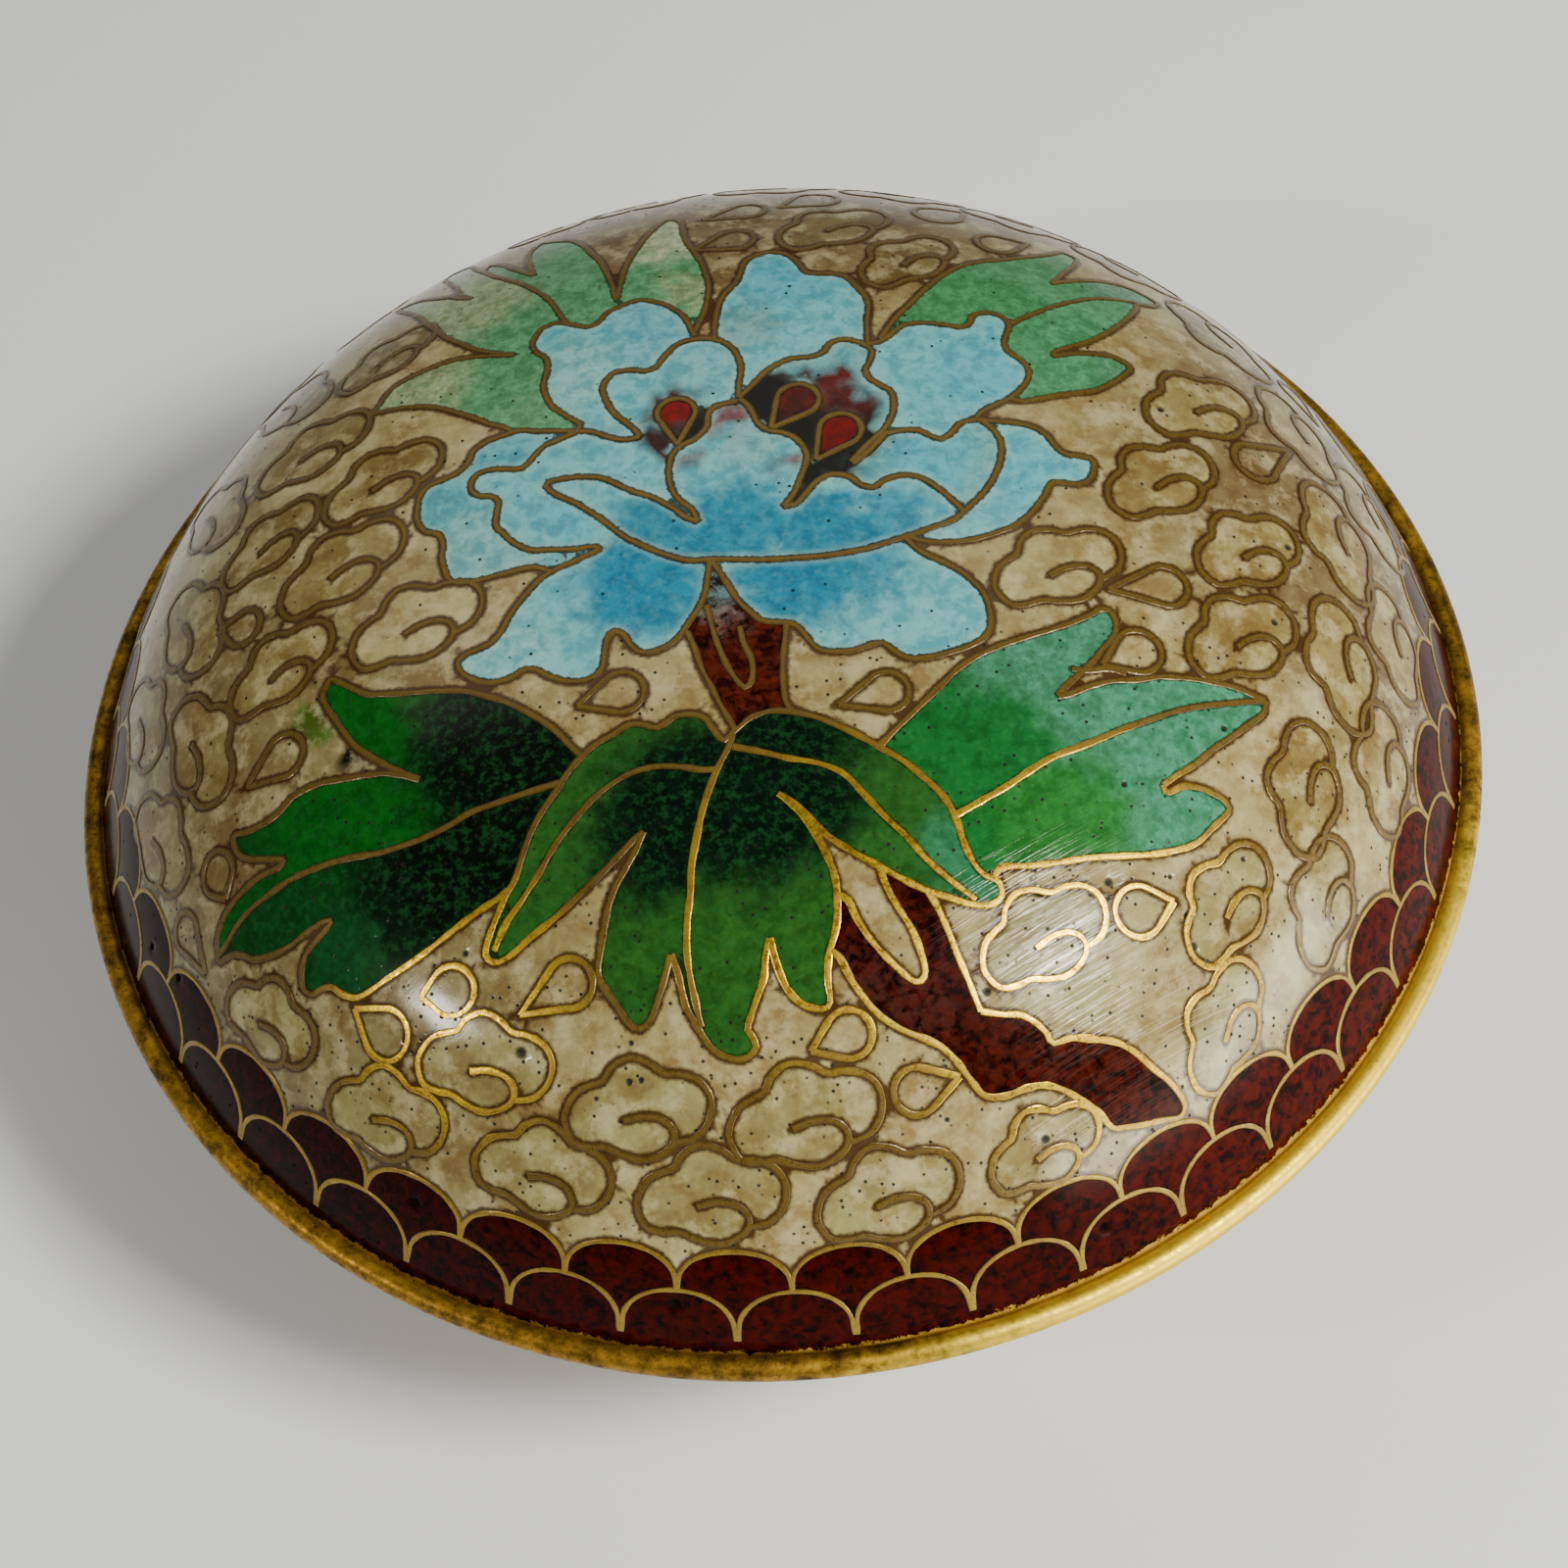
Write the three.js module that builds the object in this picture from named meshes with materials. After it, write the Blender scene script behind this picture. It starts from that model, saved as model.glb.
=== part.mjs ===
// Round cloisonne enamel box with a lift-off lid.
// Millimetres, +Z up. The origin is the centre of the foot ring's underside, and -Y is the front.
import * as THREE from 'three';

// The lid, enamelled copper: its crown rises from the enamel's lower edge to the middle of the top.
const LID_DIAMETER = 76;
const LID_CROWN_RISE = 17.55;
const LID_CROWN_LEAN = 3.3;
const LID_CROWN_BOW = 2.983;
const LID_CROWN_CROOK = 4.31;

// The base, enamelled copper: a flat bottom, then a side that swells out to the mouth.
const BASE_SIDE_RISE = 15.4;
const BASE_SIDE_LEAN = 2.4;
const BASE_SIDE_BOW = 2.05;
const BASE_SIDE_CROOK = 2.7;
const BASE_EDGE_INSET = 0.8;

// The walls are copper with enamel on both faces.
const LID_WALL = 1.6;
const BASE_WALL = 1.6;

// The gilt bead round the lid's edge, and how much of it the enamel covers.
const LID_RIM_ROUND = 0.65;
const LID_RIM_COVER_ANGLE = 134;

// The gilt ring at the base's mouth: a flat flange, and a collar that stands up inside the lid.
const BASE_RIM_SETBACK = 0.9;
const BASE_RIM_THICKNESS = 1.1;
const BASE_RIM_ROUND = 0.35;
const COLLAR_HEIGHT = 2.6;
const COLLAR_WALL = 0.8;
const COLLAR_CLEARANCE = 0.35;

// The gilt foot ring under the base.
const FOOT_DIAMETER = 43;
const FOOT_HEIGHT = 2.4;
const FOOT_WALL = 1.7;
const FOOT_FLARE = 0.35;
const FOOT_LEDGE = 0.6;

// Fineness of the round forms.
const TURN_STEPS = 60;
const CROWN_STEPS = 13;
const BEAD_STEPS = 3;
const ROUND_STEPS = 2;

// Heights and radii that follow from the sizes above.
const footRadius = FOOT_DIAMETER / 2;
const baseEdgeHeight = FOOT_HEIGHT + BASE_SIDE_RISE;
const seatHeight = baseEdgeHeight + BASE_RIM_THICKNESS;
const rimHeight = seatHeight + LID_RIM_ROUND;
const rimRadius = LID_DIAMETER / 2 - LID_RIM_ROUND;
const coverAngle = THREE.MathUtils.degToRad(LID_RIM_COVER_ANGLE);
const lidEdgeRadius = rimRadius + LID_RIM_ROUND * Math.cos(coverAngle);
const lidEdgeHeight = rimHeight + LID_RIM_ROUND * Math.sin(coverAngle);
const baseRimRadius = LID_DIAMETER / 2 - BASE_RIM_SETBACK;
const baseEdgeRadius = baseRimRadius - BASE_EDGE_INSET;

const ENAMELLED_COPPER_LID = new THREE.MeshStandardMaterial({
  color: '#b3a184',
  roughness: 0.22,
  metalness: 0,
});

const ENAMELLED_COPPER_BASE = new THREE.MeshStandardMaterial({
  color: '#5a2418',
  roughness: 0.25,
  metalness: 0,
});

const GILT_BRASS = new THREE.MeshStandardMaterial({
  color: '#c99a3c',
  roughness: 0.35,
  metalness: 1,
});

// Share of the full rise at radius r, on a swelling form that is level out to flatRadius.
function swell(r, form) {
  const reach = form.edgeRadius + form.lean - form.flatRadius;
  const share = Math.max(0, r - form.flatRadius) / reach;
  return (1 - share ** form.bow) ** (1 / form.crook);
}

// Height of the form above its edge, from 0 at the edge to its rise on the level middle.
function heightAboveEdge(r, form) {
  const low = swell(form.edgeRadius, form);
  return form.rise * (swell(r, form) - low) / (1 - low);
}

// Points of the form from its axis out to its edge, closer together towards the steep side.
function formOutline(form, steps) {
  const points = [new THREE.Vector2(0, form.rise)];
  if (form.flatRadius > 0) points.push(new THREE.Vector2(form.flatRadius, form.rise));
  for (let i = 1; i <= steps; i += 1) {
    const turn = (i / steps) * Math.PI / 2;
    const r = form.flatRadius + (form.edgeRadius - form.flatRadius) * Math.sin(turn);
    points.push(new THREE.Vector2(r, heightAboveEdge(r, form)));
  }
  return points;
}

// The same outline one wall further in, cut off level with the form's edge.
function innerOutline(form, wall, steps) {
  const outside = formOutline(form, steps);
  const moved = outside.map((point, i) => {
    const before = outside[Math.max(i - 1, 0)];
    const after = outside[Math.min(i + 1, outside.length - 1)];
    const along = after.clone().sub(before).normalize();
    return new THREE.Vector2(point.x + along.y * wall, point.y - along.x * wall);
  });
  moved[0].x = 0;
  const cut = moved.findIndex((point) => point.y <= 0);
  const share = moved[cut - 1].y / (moved[cut - 1].y - moved[cut].y);
  const edgeRadius = THREE.MathUtils.lerp(moved[cut - 1].x, moved[cut].x, share);
  return [...moved.slice(0, cut), new THREE.Vector2(edgeRadius, 0)];
}

// Radius of an outline at a height, between the two points that the height lies between.
function radiusAt(outline, height) {
  const k = outline.findIndex((point) => point.y <= height);
  const share = (outline[k - 1].y - height) / (outline[k - 1].y - outline[k].y);
  return THREE.MathUtils.lerp(outline[k - 1].x, outline[k].x, share);
}

// Points of an arc about a centre, with angles in degrees from the outward direction.
function arc(centreRadius, centreHeight, round, fromAngle, toAngle, steps) {
  const points = [];
  for (let i = 0; i <= steps; i += 1) {
    const angle = THREE.MathUtils.degToRad(THREE.MathUtils.lerp(fromAngle, toAngle, i / steps));
    const r = centreRadius + round * Math.cos(angle);
    points.push(new THREE.Vector2(r, centreHeight + round * Math.sin(angle)));
  }
  return points;
}

// A turned solid from a profile of (radius, height) points.
function turned(name, profile, material) {
  const geometry = new THREE.LatheGeometry(profile, TURN_STEPS);
  geometry.rotateX(Math.PI / 2);
  const mesh = new THREE.Mesh(geometry, material);
  mesh.name = name;
  return mesh;
}

// A ring whose profile closes on itself.
function turnedRing(name, section, material) {
  return turned(name, [...section, section[0].clone()], material);
}

const lidForm = {
  flatRadius: 0,
  edgeRadius: lidEdgeRadius,
  rise: LID_CROWN_RISE,
  lean: LID_CROWN_LEAN,
  bow: LID_CROWN_BOW,
  crook: LID_CROWN_CROOK,
};

const baseForm = {
  flatRadius: footRadius + FOOT_LEDGE,
  edgeRadius: baseEdgeRadius,
  rise: BASE_SIDE_RISE,
  lean: BASE_SIDE_LEAN,
  bow: BASE_SIDE_BOW,
  crook: BASE_SIDE_CROOK,
};

const lidInside = innerOutline(lidForm, LID_WALL, CROWN_STEPS);
const baseInside = innerOutline(baseForm, BASE_WALL, CROWN_STEPS);
const lidInnerRadius = lidInside[lidInside.length - 1].x;

// The domed lid, open below. It stands on the gilt rim, which its edge meets all round.
function lidDome() {
  const outside = formOutline(lidForm, CROWN_STEPS);
  const profile = [...lidInside, ...outside.reverse()];
  const raised = profile.map((point) => new THREE.Vector2(point.x, point.y + lidEdgeHeight));
  return turned('lid_dome', raised, ENAMELLED_COPPER_LID);
}

// The gilt bead that finishes the lid's edge, with a flat underside that rests on the base.
function lidRim() {
  const section = [
    new THREE.Vector2(lidInnerRadius, lidEdgeHeight),
    new THREE.Vector2(lidInnerRadius, seatHeight),
    ...arc(rimRadius, rimHeight, LID_RIM_ROUND, -90, 0, BEAD_STEPS),
    ...arc(rimRadius, rimHeight, LID_RIM_ROUND, 0, LID_RIM_COVER_ANGLE, BEAD_STEPS).slice(1),
  ];
  return turnedRing('lid_rim', section, GILT_BRASS);
}

// The base bowl: the swelling form upside down, on a flat bottom.
function baseBowl() {
  const outside = formOutline(baseForm, CROWN_STEPS);
  const profile = [...outside, ...[...baseInside].reverse()];
  const turnedOver = profile.map((point) => new THREE.Vector2(point.x, baseEdgeHeight - point.y));
  return turned('base_bowl', turnedOver, ENAMELLED_COPPER_BASE);
}

// The gilt ring at the mouth: its flange carries the lid, and its collar keeps the lid in place.
function baseRim() {
  const heightInLid = seatHeight + COLLAR_HEIGHT - lidEdgeHeight;
  const collarOutside = radiusAt(lidInside, heightInLid) - COLLAR_CLEARANCE;
  const collarInside = collarOutside - COLLAR_WALL;
  const collarTop = seatHeight + COLLAR_HEIGHT;
  const round = BASE_RIM_ROUND;
  const corner = baseRimRadius - round;
  const section = [
    new THREE.Vector2(collarInside, collarTop),
    new THREE.Vector2(collarInside, baseEdgeHeight),
    ...arc(corner, baseEdgeHeight + round, round, -90, 0, ROUND_STEPS),
    ...arc(corner, seatHeight - round, round, 0, 90, ROUND_STEPS),
    new THREE.Vector2(collarOutside, seatHeight),
    new THREE.Vector2(collarOutside, collarTop),
  ];
  return turnedRing('base_rim', section, GILT_BRASS);
}

// The foot ring, a little wider below, standing under the flat of the bowl.
function footRing() {
  const section = [
    new THREE.Vector2(footRadius - FOOT_WALL, FOOT_HEIGHT),
    new THREE.Vector2(footRadius - FOOT_WALL, 0),
    new THREE.Vector2(footRadius - FOOT_FLARE, 0),
    ...arc(footRadius - FOOT_FLARE, FOOT_FLARE, FOOT_FLARE, -45, 45, ROUND_STEPS),
    new THREE.Vector2(footRadius - FOOT_FLARE, FOOT_HEIGHT),
  ];
  return turnedRing('foot_ring', section, GILT_BRASS);
}

const box = new THREE.Group();
box.add(lidDome(), lidRim(), baseBowl(), baseRim(), footRing());

export default box;
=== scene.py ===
"""Round cloisonne enamel box: a domed lid with a peony among clouds, on a bowl with a gilt foot ring."""

from __future__ import annotations

import logging
import math
from dataclasses import dataclass, field
from enum import Enum
from functools import cached_property

import bpy
import numpy as np
from mathutils import Matrix, Vector, geometry, kdtree, noise


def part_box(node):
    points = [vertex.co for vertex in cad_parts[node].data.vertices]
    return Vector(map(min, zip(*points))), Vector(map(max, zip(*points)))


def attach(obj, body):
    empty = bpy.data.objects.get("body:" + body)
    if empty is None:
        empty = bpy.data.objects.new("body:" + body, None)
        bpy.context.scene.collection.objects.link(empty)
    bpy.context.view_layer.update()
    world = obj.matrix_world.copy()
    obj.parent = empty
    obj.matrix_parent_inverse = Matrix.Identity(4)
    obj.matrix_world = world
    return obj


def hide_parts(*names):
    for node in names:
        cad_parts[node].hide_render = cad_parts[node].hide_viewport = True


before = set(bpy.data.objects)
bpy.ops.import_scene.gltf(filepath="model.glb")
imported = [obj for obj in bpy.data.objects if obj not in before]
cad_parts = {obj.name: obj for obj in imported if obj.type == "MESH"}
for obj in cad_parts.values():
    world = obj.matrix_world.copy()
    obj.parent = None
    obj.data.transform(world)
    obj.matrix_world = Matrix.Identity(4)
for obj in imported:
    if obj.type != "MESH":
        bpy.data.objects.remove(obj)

LOG = logging.getLogger("enamel_box")
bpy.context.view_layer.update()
MM = 0.001

Point = tuple[float, float]
Line = list[Point]
Edge = tuple[int, int]
Tree = bpy.types.NodeTree
Socket = bpy.types.NodeSocket


def linear(code: str) -> tuple[float, float, float, float]:
    """Turns an sRGB hex colour into linear values.

    Args:
        code: The colour as "#rrggbb".

    Returns:
        Linear red, green and blue, and a full alpha.
    """
    shares = [int(code[i:i + 2], 16) / 255 for i in (1, 3, 5)]
    red, green, blue = [s / 12.92 if s <= 0.04045 else ((s + 0.055) / 1.055) ** 2.4 for s in shares]
    return red, green, blue, 1.0


def add(tree: Tree, kind: str, inputs: dict | None = None, **settings: object) -> bpy.types.Node:
    """Adds a node with its settings and links.

    Args:
        tree: The material's node tree.
        kind: The shader node's type.
        inputs: Socket name or number, with a value or with the output that feeds it.
        **settings: The node's own properties.

    Returns:
        The new node.
    """
    node = tree.nodes.new(f"ShaderNode{kind}")
    for name, value in settings.items():
        setattr(node, name, value)
    for name, value in (inputs or {}).items():
        if isinstance(value, bpy.types.NodeSocket):
            tree.links.new(value, node.inputs[name])
        else:
            node.inputs[name].default_value = value
    return node


def per_mm(size: float) -> float:
    """Gives the texture scale whose features are about size millimetres across."""
    return 1 / (size * MM)


def smooth(t: np.ndarray) -> np.ndarray:
    """Eases shares from 0 to 1."""
    t = np.clip(t, 0.0, 1.0)
    return t * t * (3 - 2 * t)


def flowing(points: Line, step: float) -> np.ndarray:
    """Bends a line through given points, as wire is bent with tweezers.

    Args:
        points: The points that the line goes through, in millimetres.
        step: The distance between the points that come back.

    Returns:
        Points along the smooth line, one per row.
    """
    p = np.array(points, float)
    if len(p) == 2:
        count = max(2, int(np.hypot(*(p[1] - p[0])) / step) + 1)
        return p[0] + (p[1] - p[0]) * np.linspace(0, 1, count)[:, None]
    p = np.vstack([2 * p[0] - p[1], p, 2 * p[-1] - p[-2]])
    parts = []
    for a, b, c, d in zip(p[:-3], p[1:-2], p[2:-1], p[3:]):
        t = np.linspace(0, 1, 12, endpoint=False)[:, None]
        parts.append(0.5 * (2 * b + (c - a) * t + (2 * a - 5 * b + 4 * c - d) * t ** 2
                            + (3 * b - 3 * c + d - a) * t ** 3))
    fine = np.vstack([*parts, p[-2:-1]])
    run = np.concatenate([[0], np.cumsum(np.hypot(*np.diff(fine, axis=0).T))])
    at = np.linspace(0, run[-1], max(3, int(round(run[-1] / step)) + 1))
    return np.stack([np.interp(at, run, fine[:, 0]), np.interp(at, run, fine[:, 1])], axis=1)


def chain(*parts: Line) -> list[Line]:
    """Joins lines tip to tip, so that each part starts where the one before it ends.

    Args:
        *parts: The parts, each a list of points.

    Returns:
        The parts as separate lines that share their tips.
    """
    lines = [list(parts[0])]
    for part in parts[1:]:
        lines.append([lines[-1][-1], *part])
    return lines


class Glaze(Enum):
    """The enamels in the cells, each with its own colour body."""

    GROUND = 0
    PETAL = 1
    LEAF = 2
    OXBLOOD = 3
    VERMILION = 4
    COUNTER = 5


# Tints that every enamel shares: the bottom of a pit, glass gone pale beside a wire, and smeared gilding.
PIT_BLACK = "#080604"
PALE_GLASS = "#9cbcb0"
SMEARED_GOLD = "#b8943a"
SPECK_SPACING_MM = 0.55
SPECK_CROWD_MM = 3.0
SMEAR_MM = 0.5
# Polishing strokes: their length, width and depth, and their turn across the lid.
STROKE_MM = (9.0, 0.16, 2.5)
STROKE_TURN = math.radians(27)
UNEVEN_MM = 3.2
RELIEF_SHARE = 0.4
ENAMEL_RELIEF_MM = 0.02
METAL_RELIEF_MM = 0.03


@dataclass(frozen=True)
class EnamelFinish:
    """Glass enamel, fired in several coats, ground flush with the wires and polished."""

    name: str
    shade: str
    shade_share: float
    cloud_mm: float
    fleck: tuple[float, float, float]
    fleck_share: float
    grain_mm: float
    veil: str
    veil_share: float
    veil_mm: float
    burn: str
    burn_share: float
    burn_mm: float
    roughness: float
    specks: float = 1.0
    pale_edge: float = 0.0
    shy: float = 0.0001
    ior: float = 1.32

    def material(self) -> bpy.types.Material:
        """Builds the finish: tint by cell, mottling, burnt wire edges, pits and polishing marks.

        Returns:
            The new material.
        """
        made = bpy.data.materials.new(self.name)
        made.use_nodes = True
        tree = made.node_tree
        tree.nodes.clear()
        place = add(tree, "TexCoord").outputs["Object"]
        tint = add(tree, "Attribute", attribute_name="tint").outputs["Color"]
        light = add(tree, "RGBToBW", {"Color": tint}).outputs[0]
        light = add(tree, "MapRange", {"Value": light, "From Max": self.shy}).outputs[0]
        grain = add(tree, "TexNoise", {
            "Vector": place, "Scale": per_mm(self.grain_mm), "Detail": 3.0,
            "Roughness": 0.7}).outputs["Fac"]
        colour = self.mottled(tree, place, grain, tint, light)
        colour = self.fired(tree, grain, light, colour)
        hole = self.pinholes(tree, place)
        colour = add(tree, "Mix", {0: hole, 6: colour, 7: linear(PIT_BLACK)}, data_type="RGBA").outputs[2]
        colour = self.smeared(tree, place, colour)
        gloss, bump = self.polished(tree, place, hole)
        shader = add(tree, "BsdfPrincipled", {
            "Base Color": colour, "Roughness": gloss, "Normal": bump, "IOR": self.ior})
        add(tree, "OutputMaterial", {"Surface": shader.outputs[0]})
        return made

    def mottled(self, tree: Tree, place: Socket, grain: Socket, tint: Socket, light: Socket) -> Socket:
        """Mottles the tint with darker clouds, bright flecks and a thin veil of a second glass.

        Args:
            tree: The material's node tree.
            place: Places on the piece.
            grain: The glass's fine grain.
            tint: The cell's tint.
            light: How far the tint is from black, which takes no veil.

        Returns:
            The mottled colour.
        """
        clouding = add(tree, "TexNoise", {
            "Vector": place, "Scale": per_mm(self.cloud_mm), "Detail": 6.0, "Roughness": 0.62,
            "Distortion": 0.4}).outputs["Fac"]
        shading = add(tree, "MapRange", {
            "Value": clouding, "From Min": 0.42, "From Max": 0.6, "To Max": self.shade_share}).outputs[0]
        flecking = add(tree, "MapRange", {
            "Value": grain, "From Min": 0.45, "From Max": 0.68, "To Max": self.fleck_share}).outputs[0]
        colour = add(tree, "Mix", {
            0: shading, 6: tint, 7: linear(self.shade)}, data_type="RGBA", blend_type="MULTIPLY").outputs[2]
        colour = add(tree, "Mix", {
            0: flecking, 6: colour, 7: (*self.fleck, 1.0)}, data_type="RGBA",
            blend_type="MULTIPLY").outputs[2]
        veiling = add(tree, "TexNoise", {
            "Vector": place, "Scale": per_mm(self.veil_mm), "Detail": 4.0, "Roughness": 0.65,
            "Lacunarity": 2.3}).outputs["Fac"]
        veiling = add(tree, "MapRange", {
            "Value": veiling, "From Min": 0.48, "From Max": 0.64, "To Max": self.veil_share}).outputs[0]
        veiling = add(tree, "Math", {0: veiling, 1: light}, operation="MULTIPLY").outputs[0]
        return add(tree, "Mix", {0: veiling, 6: colour, 7: linear(self.veil)}, data_type="RGBA").outputs[2]

    def fired(self, tree: Tree, grain: Socket, light: Socket, colour: Socket) -> Socket:
        """Pales the glass near the wires and burns it right beside them.

        Args:
            tree: The material's node tree.
            grain: The glass's fine grain, which makes the burnt edge ragged.
            light: How far the tint is from black, which doesn't pale.
            colour: The colour so far.

        Returns:
            The colour with its fired edges.
        """
        from_wire = add(tree, "Attribute", attribute_name="from_wire").outputs["Fac"]
        ragged = add(tree, "Math", {0: grain, 1: 0.3, 2: from_wire}, operation="MULTIPLY_ADD").outputs[0]
        paling = add(tree, "MapRange", {
            "Value": ragged, "From Min": 0.75, "From Max": 0.4, "To Max": self.pale_edge},
            interpolation_type="SMOOTHSTEP").outputs[0]
        paling = add(tree, "Math", {0: paling, 1: light}, operation="MULTIPLY").outputs[0]
        colour = add(tree, "Mix", {
            0: paling, 6: colour, 7: linear(PALE_GLASS)}, data_type="RGBA").outputs[2]
        burnt = add(tree, "MapRange", {
            "Value": ragged, "From Min": 0.3 + self.burn_mm, "From Max": 0.3 + 0.2 * self.burn_mm,
            "To Max": self.burn_share}, interpolation_type="SMOOTHSTEP").outputs[0]
        return add(tree, "Mix", {0: burnt, 6: colour, 7: linear(self.burn)}, data_type="RGBA").outputs[2]

    def pinholes(self, tree: Tree, place: Socket) -> Socket:
        """Scatters pinholes in crowds, thickest where the lid is worn, and adds the bigger pits.

        Args:
            tree: The material's node tree.
            place: Places on the piece.

        Returns:
            One in a hole, nought beside it.
        """
        pit = add(tree, "Attribute", attribute_name="pit").outputs["Fac"]
        wear = add(tree, "Attribute", attribute_name="wear").outputs["Fac"]
        cells = add(tree, "TexVoronoi", {"Vector": place, "Scale": per_mm(SPECK_SPACING_MM)})
        near = add(tree, "MapRange", {
            "Value": cells.outputs["Distance"], "From Min": 0.1, "From Max": 0.22, "To Min": 1.0,
            "To Max": 0.0}).outputs[0]
        pick = add(tree, "SeparateColor", {"Color": cells.outputs["Color"]}).outputs[0]
        crowd = add(tree, "TexNoise", {
            "Vector": place, "Scale": per_mm(SPECK_CROWD_MM), "Detail": 2.0}).outputs["Fac"]
        crowd = add(tree, "MapRange", {
            "Value": crowd, "From Min": 0.38, "From Max": 0.62, "To Min": 0.25,
            "To Max": 1.9 * self.specks}).outputs[0]
        crowd = add(tree, "Math", {0: crowd, 1: wear}, operation="MULTIPLY").outputs[0]
        chosen = add(tree, "Math", {0: pick, 1: crowd}, operation="LESS_THAN").outputs[0]
        speck = add(tree, "Math", {0: near, 1: chosen}, operation="MULTIPLY").outputs[0]
        return add(tree, "Math", {0: speck, 1: pit}, operation="MAXIMUM").outputs[0]

    def smeared(self, tree: Tree, place: Socket, colour: Socket) -> Socket:
        """Lays smears of gilding over the enamel's edge, as the rim was gilt after firing.

        Args:
            tree: The material's node tree.
            place: Places on the piece.
            colour: The colour so far.

        Returns:
            The colour with its smears.
        """
        gilding = add(tree, "Attribute", attribute_name="gilding").outputs["Fac"]
        smear = add(tree, "TexNoise", {
            "Vector": place, "Scale": per_mm(SMEAR_MM), "Detail": 4.0, "Roughness": 0.75}).outputs["Fac"]
        gilt = add(tree, "Math", {0: gilding, 1: smear}, operation="ADD").outputs[0]
        gilt = add(tree, "MapRange", {
            "Value": gilt, "From Min": 1.3, "From Max": 1.38, "To Max": 0.92}).outputs[0]
        return add(tree, "Mix", {0: gilt, 6: colour, 7: linear(SMEARED_GOLD)}, data_type="RGBA").outputs[2]

    def polished(self, tree: Tree, place: Socket, hole: Socket) -> tuple[Socket, Socket]:
        """Grinds the surface: long strokes where it was rubbed, a slight waviness, and dull holes.

        Args:
            tree: The material's node tree.
            place: Places on the piece.
            hole: One in a hole, nought beside it.

        Returns:
            The roughness and the surface's fine slope.
        """
        rubbed = add(tree, "Attribute", attribute_name="rubbed").outputs["Fac"]
        lengthwise = add(tree, "Mapping", {
            "Vector": place, "Rotation": (0.0, 0.0, STROKE_TURN),
            "Scale": [size * MM for size in STROKE_MM]}, vector_type="TEXTURE").outputs[0]
        strokes = add(tree, "TexNoise", {
            "Vector": lengthwise, "Scale": 1.0, "Detail": 3.0, "Roughness": 0.6}).outputs["Fac"]
        uneven = add(tree, "TexNoise", {
            "Vector": place, "Scale": per_mm(UNEVEN_MM), "Detail": 2.0}).outputs["Fac"]
        scored = add(tree, "MapRange", {"Value": strokes, "From Min": 0.46, "From Max": 0.66}).outputs[0]
        scored = add(tree, "Math", {0: scored, 1: rubbed}, operation="MULTIPLY").outputs[0]
        height = add(tree, "Math", {0: scored, 1: 1.7, 2: uneven}, operation="MULTIPLY_ADD").outputs[0]
        height = add(tree, "Math", {0: hole, 1: -1.0, 2: height}, operation="MULTIPLY_ADD").outputs[0]
        bump = add(tree, "Bump", {
            "Height": height, "Strength": RELIEF_SHARE, "Distance": ENAMEL_RELIEF_MM * MM}).outputs[0]
        gloss = add(tree, "MapRange", {
            "Value": scored, "From Min": 0.2, "From Max": 0.65, "To Min": self.roughness,
            "To Max": self.roughness + 0.07}).outputs[0]
        gloss = add(tree, "Math", {0: hole, 1: 0.6, 2: gloss}, operation="MULTIPLY_ADD").outputs[0]
        return gloss, bump


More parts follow.
